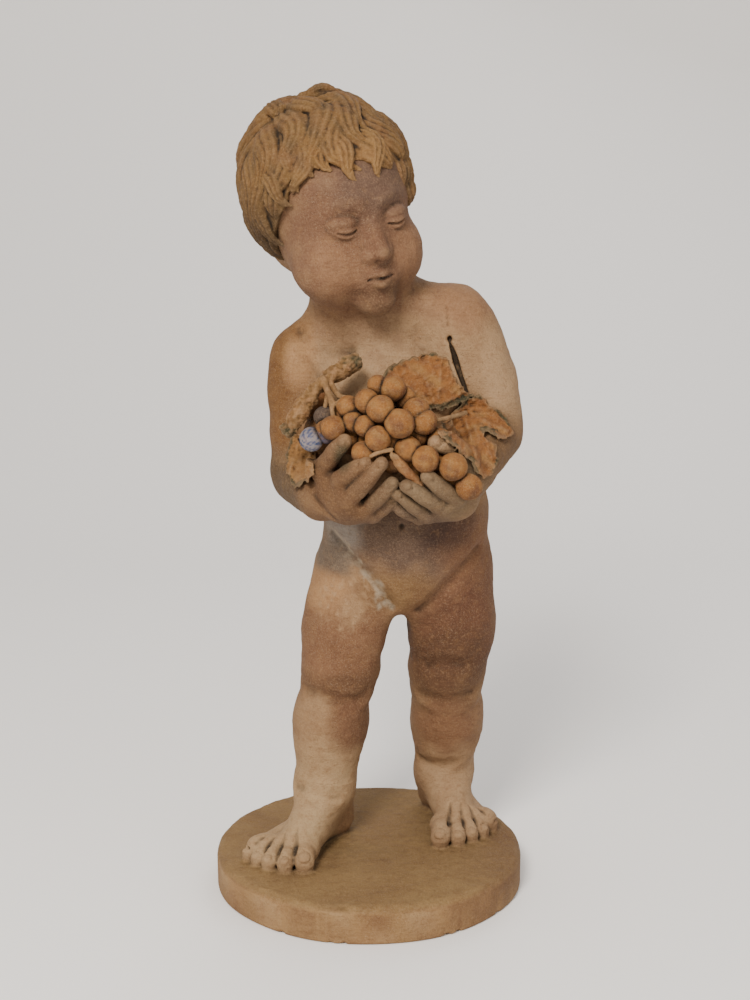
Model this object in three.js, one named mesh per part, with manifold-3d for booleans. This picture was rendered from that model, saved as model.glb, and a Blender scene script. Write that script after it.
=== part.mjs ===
// A terracotta putto on a round base: a standing infant with its head bent to one side,
// gathering a bunch of grapes and vine leaves against its chest. It is one piece of fired clay.
// Millimetres, +Z up, facing -Y. The origin is the centre of the base's underside.
import * as THREE from "three";
import { mergeVertices } from "three/addons/utils/BufferGeometryUtils.js";
import Module from "manifold-3d";

const wasm = await Module();
wasm.setup();

// The base
const baseDiameter = 280;
const baseThickness = 33;
const baseEdgeRound = 6;
const baseBackFlat = 134; // from the centre to the flat along the back
const baseSides = 28;

// The figure, from its soles to the top of its hair. Its pose and carving are drawn at drawnHeight,
// from the middle of the base's top, and scaled to figureHeight.
const figureHeight = 667;
const drawnHeight = 668.4;
const share = figureHeight / drawnHeight;

// How finely the clay is sampled, the triangles that it is thinned to, and how the head, hands and feet
// are favoured over the plain skin as it is thinned
const gridStep = 3.4;
const figureTriangles = 5900;
const carvedCare = 5;
const grapeDetail = 1; // splits of an icosahedron's edges

const right = -1; // the figure's own right, on -X
const left = 1;

const clamp01 = (t) => Math.min(1, Math.max(0, t));
const mix = (a, b, t) => a.map((v, i) => v + (b[i] - v) * t);
const radians = THREE.MathUtils.degToRad;

// Clay is laid on and cut away in lumps. A lump gives the distance from a point to its surface, the box
// that it can change, and the fillet with which it joins the clay that is already there.
function lump(low, high, fillet, distance) {
  const reach = fillet + gridStep * 1.5;
  return {
    low: low.map((v) => v - reach),
    high: high.map((v) => v + reach),
    fillet,
    distance,
    cuts: false,
  };
}

// A tapered limb with round ends, from a to b.
function limb(a, b, ra, rb, fillet = 8) {
  const [ax, ay, az] = a;
  const [dx, dy, dz] = b.map((v, i) => v - a[i]);
  const span = dx * dx + dy * dy + dz * dz || 1;
  const low = a.map((v, i) => Math.min(v - ra, b[i] - rb));
  const high = a.map((v, i) => Math.max(v + ra, b[i] + rb));
  return lump(low, high, fillet, (x, y, z) => {
    const px = x - ax;
    const py = y - ay;
    const pz = z - az;
    const t = clamp01((px * dx + py * dy + pz * dz) / span);
    const qx = px - t * dx;
    const qy = py - t * dy;
    const qz = pz - t * dz;
    return Math.sqrt(qx * qx + qy * qy + qz * qz) - (ra + t * (rb - ra));
  });
}

// A run of limbs through several points, each given as [point, radius].
function chain(stops, fillet) {
  return stops.slice(1).map(([b, rb], i) => limb(stops[i][0], b, stops[i][1], rb, fillet));
}

// A limb of flesh: a smooth curve through several stops, each [point, radius].
function tube(stops, fillet = 8, parts = 4) {
  const knots = stops.map(([p, r]) => [...p, r]);
  const past = (a, b) => a.map((v, i) => 2 * v - b[i]);
  const run = [past(knots[0], knots[1]), ...knots, past(knots.at(-1), knots.at(-2))];
  const places = [];
  for (let n = 1; n < run.length - 2; n++)
    for (let part = 0; part < parts; part++) {
      const t = part / parts;
      const [a, b, c, d] = run.slice(n - 1, n + 3);
      places.push(
        b.map((v, i) => {
          const squared = 2 * a[i] - 5 * v + 4 * c[i] - d[i];
          const cubed = 3 * v - a[i] - 3 * c[i] + d[i];
          return v + 0.5 * ((c[i] - a[i]) * t + squared * t ** 2 + cubed * t ** 3);
        }),
      );
    }
  places.push(knots.at(-1));
  const spans = places.slice(1).map((q, i) => {
    const p = places[i];
    return limb(p.slice(0, 3), q.slice(0, 3), p[3], q[3], fillet);
  });
  return {
    ...spans[0],
    low: [0, 1, 2].map((i) => Math.min(...spans.map((span) => span.low[i]))),
    high: [0, 1, 2].map((i) => Math.max(...spans.map((span) => span.high[i]))),
    distance: (x, y, z) => spans.reduce((least, span) => Math.min(least, span.distance(x, y, z)), Infinity),
  };
}

// An ellipsoid, turned by a matrix.
function egg(centre, radii, fillet = 8, turn = new THREE.Matrix4()) {
  const [cx, cy, cz] = centre;
  const [rx, ry, rz] = radii;
  const m = turn.elements;
  const reach = [0, 1, 2].map((i) => Math.hypot(m[i] * rx, m[i + 4] * ry, m[i + 8] * rz));
  const low = centre.map((v, i) => v - reach[i]);
  const high = centre.map((v, i) => v + reach[i]);
  return lump(low, high, fillet, (x, y, z) => {
    const px = x - cx;
    const py = y - cy;
    const pz = z - cz;
    const qx = (m[0] * px + m[1] * py + m[2] * pz) / rx;
    const qy = (m[4] * px + m[5] * py + m[6] * pz) / ry;
    const qz = (m[8] * px + m[9] * py + m[10] * pz) / rz;
    const k0 = Math.sqrt(qx * qx + qy * qy + qz * qz);
    const k1 = Math.sqrt((qx / rx) ** 2 + (qy / ry) ** 2 + (qz / rz) ** 2);
    return k1 > 0 ? (k0 * (k0 - 1)) / k1 : -Math.min(rx, ry, rz);
  });
}

const cut = (shape) => ({ ...shape, cuts: true });
const off = ([px, py, pz], x = 0, y = 0, z = 0) => [px + x, py + y, pz + z];
const eachSide = (make) => [right, left].flatMap(make);

// Where the trunk's masses and joints lie, and where the legs part
const pose = {
  pelvis: [32, 22, 254],
  belly: [33, 8, 308],
  chest: [21, 10, 394],
  neckFoot: [12, 10, 458],
  neckTop: [-10, 2, 508],
  shoulder: { [right]: [-52, 10, 440], [left]: [73, 12, 473] },
  elbow: { [right]: [-57, 8, 342], [left]: [105, 3, 378] },
  wrist: { [right]: [-40, -58, 332], [left]: [87, -58, 356] },
  hip: { [right]: [-2, 24, 244], [left]: [66, 26, 244] },
  thigh: { [right]: [-18, 14, 209], [left]: [74, 27, 206] },
  knee: { [right]: [-28, 4, 152], [left]: [71, 34, 142] },
  calf: { [right]: [-35, 8, 112], [left]: [73, 48, 104] },
  ankle: { [right]: [-40, 10, 50], [left]: [71, 70, 42] },
  heel: { [right]: [-36, 24, 18], [left]: [69, 88, 18] },
  instep: { [right]: [-60, -34, 15], [left]: [80, 28, 15] },
  parting: [27, 0, 206],
};

function trunk() {
  const { pelvis, belly, chest, neckFoot, neckTop, shoulder } = pose;
  return [
    egg(chest, [69, 52, 66], 10),
    egg(belly, [73, 63, 66], 30),
    egg(pelvis, [76, 56, 48], 30),
    ...eachSide((side) => [
      egg(off(chest, side * 28, -30, 20), [30, 19, 26], 16),
      egg(off(chest, side * 34, 36, 14), [30, 16, 34], 16),
      limb(mix(neckTop, shoulder[side], 0.4), mix(neckFoot, shoulder[side], 0.85), 25, 28, 20),
      egg(off(shoulder[side], 4 + side * 2, 0, -18), [34, 34, 38], 16),
      egg(off(pelvis, side * 33, 32, -14), [38, 36, 40], 16),
    ]),
    limb(neckFoot, neckTop, 36, 38, 14),
    egg(off(neckTop, 4, 16, -20), [36, 32, 38], 14),
    cut(limb(off(belly, 2, 74, 0), off(chest, -4, 66, 30), 9, 7, 18)),
  ];
}

// The legs part below the groin, wider as they go down.
function betweenLegs() {
  const [x, , z] = pose.parting;
  return [-3, 8, 20, 34].map((drop) => {
    const [front, back] = [-90, 110].map((y) => [x - 0.1 * drop, y, z - drop]);
    const radius = 6 + 0.16 * drop;
    return cut(limb(front, back, radius, radius, 9));
  });
}

// The right leg bears the weight and the left stands back. The flesh of each rolls over the knee.
function leg(side) {
  const at = (name) => pose[name][side];
  const overKnee = mix(at("thigh"), at("knee"), 0.5);
  const crease = mix(at("knee"), at("calf"), 0.28);
  const shin = mix(at("calf"), at("ankle"), 0.62);
  return [
    tube([[at("hip"), 40], [at("thigh"), 40], [overKnee, 37.5], [at("knee"), 34]], 22),
    tube([[at("knee"), 30], [crease, 31], [at("calf"), 33], [shin, 28.5], [at("ankle"), 26]], 3),
    egg(off(at("calf"), 0, 7), [31, 32, 38], 12),
    egg(off(at("thigh"), 0, 4, -4), [36, 41, 48], 14),
    limb(at("ankle"), at("heel"), 25, 20, 12),
  ];
}

// Toes fan out from the instep to their tips, the big toe first.
const toeTips = {
  [right]: [[-56, -66], [-73, -67], [-87, -61], [-98, -53], [-106, -42]],
  [left]: [[65, -13], [81, -9], [94, 0], [105, 10], [114, 23]],
};
const toeRadii = [9.5, 7.8, 7.3, 6.8, 6.4];

function foot(side) {
  const instep = pose.instep[side];
  const heel = pose.heel[side];
  const ankle = pose.ankle[side];
  const tips = toeTips[side];
  const roots = tips.map(([x, y], i) => {
    const pull = 0.5 - 0.03 * i;
    return [x + (instep[0] - x) * pull * 0.62, y + (instep[1] - y) * pull, 11];
  });
  return [
    limb(heel, instep, 18, 15, 10),
    limb([heel[0], heel[1], 14], [roots[4][0], roots[4][1], 9], 17, 9, 10),
    limb(mix(ankle, instep, 0.15), instep, 22, 14, 12),
    limb(roots[0], roots[4], 13, 10, 10),
    ...tips.flatMap(([x, y], i) => {
      const r = toeRadii[i];
      const knuckle = [(x + roots[i][0]) / 2, (y + roots[i][1]) / 2, r + 3];
      return chain([[roots[i], r * 1.05], [knuckle, r * 0.9], [[x, y, r - 1], r]], 2.5);
    }),
  ];
}

function arm(side) {
  const [shoulder, elbow, wrist] = [pose.shoulder[side], pose.elbow[side], pose.wrist[side]];
  const outward = side === left ? 9 : -2;
  const upper = off(mix(shoulder, elbow, 0.5), outward);
  return [
    tube([[shoulder, 33], [upper, 30.5], [off(elbow, 0, 0, 12), 28.5], [elbow, 28]], 14),
    tube([[elbow, 28], [mix(elbow, wrist, 0.45), 26], [wrist, 19]], 7),
  ];
}

// Each hand: the palm's middle, and each finger from its root over a bend to its tip, thumb first.
const hands = {
  [right]: {
    palm: [-18, -80, 331],
    fingers: [
      [[-38, -80, 358], [-28, -98, 374], [-19, -106, 385]],
      [[-22, -97, 352], [-12, -109, 362], [-3, -112, 369]],
      [[-16, -98, 336], [-2, -112, 353], [11, -114, 368]],
      [[-3, -92, 327], [10, -106, 340], [20, -110, 352]],
      [[4, -84, 321], [15, -96, 331], [24, -101, 343]],
    ],
  },
  [left]: {
    palm: [72, -80, 335],
    fingers: [
      [[79, -84, 366], [66, -100, 379], [54, -106, 384]],
      [[71, -99, 338], [59, -112, 348], [48, -117, 358]],
      [[62, -96, 329], [46, -110, 340], [31, -114, 350]],
      [[48, -91, 323], [35, -102, 333], [24, -107, 342]],
      [[42, -82, 319], [30, -92, 325], [21, -97, 334]],
    ],
  },
};
const fingerRadii = [7.6, 7.2, 7, 6.4, 5.8];

function hand(side) {
  const { palm, fingers } = hands[side];
  return [
    limb(pose.wrist[side], palm, 18.5, 18, 8),
    ...fingers.slice(1).map(([root], i) => limb(palm, root, 14, fingerRadii[i + 1] + 1.5, 8)),
    limb(palm, fingers[0][0], 14, 10, 8),
    ...fingers.map(([root, bend, tip], i) => {
      const r = fingerRadii[i];
      return tube([[root, r * 1.14], [bend, r], [tip, r * 0.82]], 1.6);
    }),
  ];
}

// The head turns as one: its own frame has -Y out of the face and +Z through the crown.
const head = {
  centre: [-29, -14, 568],
  turn: new THREE.Matrix4()
    .makeRotationY(radians(-13))
    .multiply(new THREE.Matrix4().makeRotationZ(radians(27)))
    .multiply(new THREE.Matrix4().makeRotationX(radians(12))),
};
function inHead([x, y, z]) {
  const v = new THREE.Vector3(x, y, z).applyMatrix4(head.turn);
  return [v.x + head.centre[0], v.y + head.centre[1], v.z + head.centre[2]];
}
const headEgg = (c, radii, fillet) => egg(inHead(c), radii, fillet, head.turn);
const headTube = (stops, fillet) => tube(stops.map(([p, r]) => [inHead(p), r]), fillet, 2);

// A calm infant's face on the usual proportions: eyes halfway, nose and mouth dividing the rest.
const eyes = { apart: 22.5, out: -55, level: -5 };
const brow = { level: 10, arch: 5 };
const nose = { bridge: [0, -65, -1], tip: [0, -77, -26] };
const mouth = { level: -48, half: 15 };
const chin = [0, -57, -70];

function face() {
  const { level, half } = mouth;
  return [
    headEgg([0, 12, 20], [62, 70, 63], 8),
    headEgg([0, 34, -18], [48, 42, 42], 16),
    headEgg([0, -22, -28], [54, 48, 53], 18),
    headEgg([0, -28, 16], [50, 40, 42], 14),
    ...eachSide((s) => [headEgg([s * 30, -37, -37], [26, 26, 27], 14)]),
    headEgg(chin, [16, 13, 12], 12),
    headEgg([0, -60, level], [19, 11, 12], 10),
    ...eachSide((s) => [
      cut(headEgg([s * eyes.apart, -76, eyes.level + 2], [15, 9, 8], 10)),
      headEgg([s * eyes.apart, eyes.out, eyes.level], [13.5, 13, 11], 2),
      headTube([[[s * 9, -65, brow.level + 2], 3.6], [[s * 21, -62, brow.level + brow.arch], 2.8],
        [[s * 34, -52, brow.level + 1], 2]], 10),
    ]),
    headTube([[nose.bridge, 5], [nose.tip, 7.4]], 9),
    ...eachSide((s) => [headEgg([s * 7.6, -69, -28], [5.4, 6.4, 5.2], 4)]),
    ...eachSide((s) => [
      headTube([[[0, -70.5, level + 2.4], 3.4], [[s * half, -62, level + 0.8], 1.8]], 2.4),
      headTube([[[0, -69.5, level - 3.6], 4], [[s * half * 0.9, -62, level - 0.8], 1.8]], 2.4),
    ]),
  ];
}

// Locks lie on the scalp in rings round the crown. Each rises from its root to its tip, which lies over
// the roots of the next ring, and bends in a wave on the way.
const scalp = {
  centre: [0, 12, 22],
  radii: [66, 75, 68],
  crown: new THREE.Vector3(0, 0.3, 0.95).normalize(),
};
const lockRings = [
  { from: 1, sweep: 44, count: 6, width: 10 },
  { from: 24, sweep: 42, count: 10, width: 10 },
  { from: 46, sweep: 40, count: 14, width: 9.6 },
  { from: 68, sweep: 38, count: 17, width: 9.2 },
  { from: 90, sweep: 34, count: 18, width: 8.8 },
  { from: 110, sweep: 28, count: 15, width: 8.4 },
];
const lockFlatness = 0.62; // a lock's height as a share of its width

// How far down from the crown the hair reaches, from the brow round to the nape.
function hairReach(round) {
  return 121 - 18 * Math.cos(round) - 4 * Math.cos(2 * round);
}

function onScalp(down, round, lift) {
  const axis = scalp.crown;
  const front = new THREE.Vector3(0, -1, 0).addScaledVector(axis, axis.y).normalize();
  const side = new THREE.Vector3().crossVectors(axis, front);
  const d = new THREE.Vector3()
    .addScaledVector(axis, Math.cos(down))
    .addScaledVector(front, Math.sin(down) * Math.cos(round))
    .addScaledVector(side, Math.sin(down) * Math.sin(round));
  const [rx, ry, rz] = scalp.radii;
  const out = 1 / Math.sqrt((d.x / rx) ** 2 + (d.y / ry) ** 2 + (d.z / rz) ** 2);
  return scalp.centre.map((v, i) => v + d.getComponent(i) * (out + lift));
}

// One flat stretch of a lock: an oval section from p to q, lying on its broad side.
function ribbon(p, q, wp, wq) {
  const along = new THREE.Vector3(...q).sub(new THREE.Vector3(...p));
  const length = along.length();
  along.normalize();
  const outward = new THREE.Vector3(...mix(p, q, 0.5)).sub(new THREE.Vector3(...inHead(scalp.centre)));
  const across = new THREE.Vector3().crossVectors(along, outward).normalize();
  const up = new THREE.Vector3().crossVectors(across, along);
  const wide = Math.max(wp, wq);
  const low = p.map((v, i) => Math.min(v, q[i]) - wide);
  const high = p.map((v, i) => Math.max(v, q[i]) + wide);
  return lump(low, high, 0.8, (x, y, z) => {
    const [rx, ry, rz] = [x - p[0], y - p[1], z - p[2]];
    const a = rx * along.x + ry * along.y + rz * along.z;
    const t = clamp01(a / length);
    const u = rx * across.x + ry * across.y + rz * across.z;
    const n = rx * up.x + ry * up.y + rz * up.z;
    const w = wp + (wq - wp) * t;
    const h = w * lockFlatness;
    return (Math.sqrt((u / w) ** 2 + (n / h) ** 2 + ((a - t * length) / h) ** 2) - 1) * h;
  });
}

// A lock from a place on the scalp, down from the crown and round from the brow, to another.
function lock(from, to, width, curl) {
  const fat = [0.7, 1, 1.1, 0.98, 0.7, 0.25];
  const stops = fat.map((f, i) => {
    const t = i / (fat.length - 1);
    const [down, round] = mix(from, to, t).map(radians);
    const wave = radians(curl * Math.sin(t * Math.PI * 1.7)) / Math.max(0.45, Math.sin(down));
    const lift = width * (0.42 * Math.sin(t * Math.PI * 0.62) - 0.1) + 2 * Math.sin(t * Math.PI * 0.9);
    return [inHead(onScalp(down, round + wave, lift)), width * f];
  });
  return stops.slice(1).map(([q, wq], i) => ribbon(stops[i][0], q, stops[i][1], wq));
}

// The lower rings are laid first, so that each ring's tips lie over the next.
function hair() {
  const locks = [headEgg(scalp.centre, scalp.radii, 0.8)];
  [...lockRings].reverse().forEach(({ from, sweep, count, width }, ring) => {
    for (let i = 0; i < count; i++) {
      const uneven = Math.sin(i * 12.9898 + ring * 78.233);
      const round = (360 * (i + 0.5 * (ring % 2) + 0.2 * uneven)) / count;
      const start = from + 4 * uneven;
      const room = hairReach(radians(round)) - start;
      const drift = 9 + 9 * Math.cos(radians(round + 25));
      const to = [start + Math.min(sweep, room), round + drift];
      if (room > 9) locks.push(...lock([start, round], to, width, ring % 2 ? 6 : -5));
    }
  });
  return locks;
}

// The bunch: each grape's middle, and its radius
const grapes = [
  [10, -106, 411, 11.6], [25, -112, 400, 12.4], [39, -96, 408, 11.8], [45, -100, 400, 11],
  [20, -92, 426, 11], [-1, -98, 416, 10.4], [-16, -92, 411, 10], [-12, -98, 400, 9.4],
  [-3, -104, 397, 9.2], [8, -112, 388, 11], [-28, -100, 395, 10.4], [-34, -92, 391, 10],
  [-46, -92, 385, 10.2], [-36, -82, 402, 9], [-4, -106, 376, 10], [32, -108, 379, 11],
  [46, -116, 372, 11.4], [68, -116, 366, 11.8], [81, -112, 349, 11.2], [58, -96, 384, 10.4],
  [-22, -78, 400, 10], [22, -98, 388, 10.8], [62, -98, 352, 10.4], [8, -88, 428, 9],
];
const bunchCore = [
  [[-36, -57, 386], 19],
  [[10, -60, 394], 31],
  [[54, -64, 372], 24],
];

function bunch() {
  return grapes.map(([x, y, z, r]) =>
    solidOf(
      new THREE.IcosahedronGeometry(r, grapeDetail)
        .translate(x, y, z)
        .scale(share, share, share)
        .translate(0, 0, baseThickness),
    ),
  );
}

// The cane lies across the bunch in two cut lengths, with a thin stalk down to the grapes.
function cane() {
  return [
    ...chain([[[-66, -76, 390], 5.9], [[-53, -78, 410], 6.5], [[-41, -75, 426], 5.8]], 2),
    ...chain([[[-33, -70, 433], 5.4], [[-22, -66, 438], 6.4], [[-12, -60, 444], 6.8]], 2),
    limb([-52, -66, 405], [-44, -40, 408], 8, 12, 6),
    ...chain([[[-36, -77, 430], 3.4], [[-31, -86, 419], 2.9], [[-26, -90, 412], 2.9]], 1.5),
  ];
}

// A leaf is a sheet of clay pressed over what lies under it: the clay's own surface, raised within the
// leaf's ragged outline. The outlines are as seen from the front, in x and z.
const leafThickness = 5.5;
const leafDepth = { from: -105, to: -8 };
const leaves = {
  chest: [
    [6, 425], [17, 438], [31, 444], [45, 448], [58, 449], [68, 444], [72, 430], [80, 420],
    [88, 413], [76, 405], [62, 402], [50, 404], [30, 408], [12, 412],
  ],
  forearm: [
    [81, 411], [94, 413], [109, 403], [120, 391], [123, 381], [116, 377], [97, 386],
    [105, 376], [108, 364], [101, 354], [95, 350], [86, 360], [82, 368], [70, 379], [56, 393], [68, 395],
  ],
  wrist: [
    [-66, 381], [-57, 379], [-53, 368], [-44, 365], [-44, 356], [-51, 348],
    [-62, 341], [-69, 349], [-71, 360],
  ],
};

// The distance in the plane to a closed outline, negative inside.
function outlineDistance(outline, x, z) {
  let inside = false;
  let nearest = Infinity;
  outline.forEach(([ax, az], i) => {
    const [bx, bz] = outline[(i + 1) % outline.length];
    const [ex, ez] = [bx - ax, bz - az];
    const t = clamp01(((x - ax) * ex + (z - az) * ez) / (ex * ex + ez * ez));
    nearest = Math.min(nearest, Math.hypot(x - ax - t * ex, z - az - t * ez));
    if (az > z !== bz > z && x < ax + ((z - az) * ex) / ez) inside = !inside;
  });
  return inside ? -nearest : nearest;
}

function pressLeaf(outline) {
  const reach = (find, i) => find(...outline.map((point) => point[i]));
  const low = [reach(Math.min, 0), leafDepth.from, reach(Math.min, 1)];
  const high = [reach(Math.max, 0), leafDepth.to, reach(Math.max, 1)];
  return lump(low, high, 0, (x, y, z, was) =>
    Math.max(was - leafThickness, outlineDistance(outline, x, z), y - leafDepth.to),
  );
}

// The clay as a grid of distances, negative inside.
function layClay(steps, region) {
  const axes = [0, 1, 2].map((i) => {
    const count = Math.ceil((region.high[i] - region.low[i]) / gridStep) + 1;
    return Array.from({ length: count }, (_, n) => region.low[i] + n * gridStep);
  });
  const [nx, ny, nz] = axes.map((a) => a.length);
  const clay = new Float32Array(nx * ny * nz).fill(50);
  const span = (i, low, high) => {
    const first = Math.max(0, Math.ceil((low - region.low[i]) / gridStep));
    const last = Math.min(axes[i].length - 1, Math.floor((high - region.low[i]) / gridStep));
    return [first, last];
  };
  for (const step of steps) {
    const [[x0, x1], [y0, y1], [z0, z1]] = [0, 1, 2].map((i) => span(i, step.low[i], step.high[i]));
    const k = step.fillet;
    for (let iz = z0; iz <= z1; iz++)
      for (let iy = y0; iy <= y1; iy++)
        for (let ix = x0; ix <= x1; ix++) {
          const n = ix + nx * (iy + ny * iz);
          const was = clay[n];
          const d = step.distance(axes[0][ix], axes[1][iy], axes[2][iz], was);
          const near = Math.max(0, k - Math.abs(was - (step.cuts ? -d : d)));
          const round = k > 0 ? (near * near) / (4 * k) : 0;
          clay[n] = step.cuts ? Math.max(was, -d) + round : Math.min(was, d) - round;
        }
  }
  return { clay, axes, size: [nx, ny, nz] };
}

// Each grid cube is cut into six tetrahedra round its long diagonal, so that the surface is always closed.
const tetrahedra = [
  [0, 1, 3, 7], [0, 3, 2, 7], [0, 2, 6, 7],
  [0, 6, 4, 7], [0, 4, 5, 7], [0, 5, 1, 7],
];
const evenOrder = (order) => {
  let swaps = 0;
  order.forEach((a, i) => order.slice(i + 1).forEach((b) => (swaps += a > b ? 1 : 0)));
  return swaps % 2 === 0;
};

// The triangles in a tetrahedron for each set of corners inside the clay, as pairs of corners.
const cases = Array.from({ length: 16 }, (_, mask) => {
  const inside = [0, 1, 2, 3].filter((i) => mask & (1 << i));
  const outside = [0, 1, 2, 3].filter((i) => !(mask & (1 << i)));
  let order = inside.length === 3 ? [...outside, ...inside] : [...inside, ...outside];
  if (!evenOrder(order)) order = [order[0], order[1], order[3], order[2]];
  const [a, b, c, d] = order;
  if (inside.length === 1) return [[[a, b], [a, c], [a, d]]];
  if (inside.length === 3) return [[[a, d], [a, c], [a, b]]];
  if (inside.length === 2) return [[[a, c], [a, d], [b, d]], [[a, c], [b, d], [b, c]]];
  return [];
});

function skin({ clay, axes, size: [nx, ny, nz] }) {
  const strides = [1, nx, nx * ny];
  const corners = [0, 1, 2, 3, 4, 5, 6, 7].map((bits) =>
    strides.reduce((total, stride, i) => total + (bits & (1 << i) ? stride : 0), 0),
  );
  const made = new Map();
  const points = [];
  const triangles = [];
  const pointOf = (node) => [
    axes[0][node % nx],
    axes[1][Math.floor(node / nx) % ny],
    axes[2][Math.floor(node / strides[2])],
  ];
  const pointOn = (node, c1, c2) => {
    const [near, far] = c1 < c2 ? [c1, c2] : [c2, c1];
    const key = (node + corners[near]) * 8 + (near ^ far);
    if (!made.has(key)) {
      const a = node + corners[near];
      const b = node + corners[far];
      const t = Math.min(0.92, Math.max(0.08, clay[a] / (clay[a] - clay[b])));
      made.set(key, points.length);
      points.push(mix(pointOf(a), pointOf(b), t));
    }
    return made.get(key);
  };
  for (let iz = 0; iz < nz - 1; iz++)
    for (let iy = 0; iy < ny - 1; iy++)
      for (let ix = 0; ix < nx - 1; ix++) {
        const node = ix + nx * (iy + ny * iz);
        let within = 0;
        for (const c of corners) within += clay[node + c] < 0 ? 1 : 0;
        if (within === 0 || within === 8) continue;
        for (const tet of tetrahedra) {
          let mask = 0;
          tet.forEach((c, i) => (mask |= clay[node + corners[c]] < 0 ? 1 << i : 0));
          for (const triangle of cases[mask])
            triangles.push(triangle.map(([p, q]) => pointOn(node, tet[p], tet[q])));
        }
      }
  return { points, triangles };
}

// Keeps the largest closed surface, without the hollows that the lumps shut in.
function outerSkin({ points, triangles }) {
  const parent = points.map((_, i) => i);
  const find = (i) => {
    while (parent[i] !== i) {
      parent[i] = parent[parent[i]];
      i = parent[i];
    }
    return i;
  };
  for (const [a, b, c] of triangles) {
    parent[find(a)] = find(b);
    parent[find(b)] = find(c);
  }
  const count = new Map();
  for (const [a] of triangles) count.set(find(a), (count.get(find(a)) || 0) + 1);
  const largest = [...count].sort((p, q) => q[1] - p[1])[0][0];
  return { points, triangles: triangles.filter(([a]) => find(a) === largest) };
}

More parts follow.
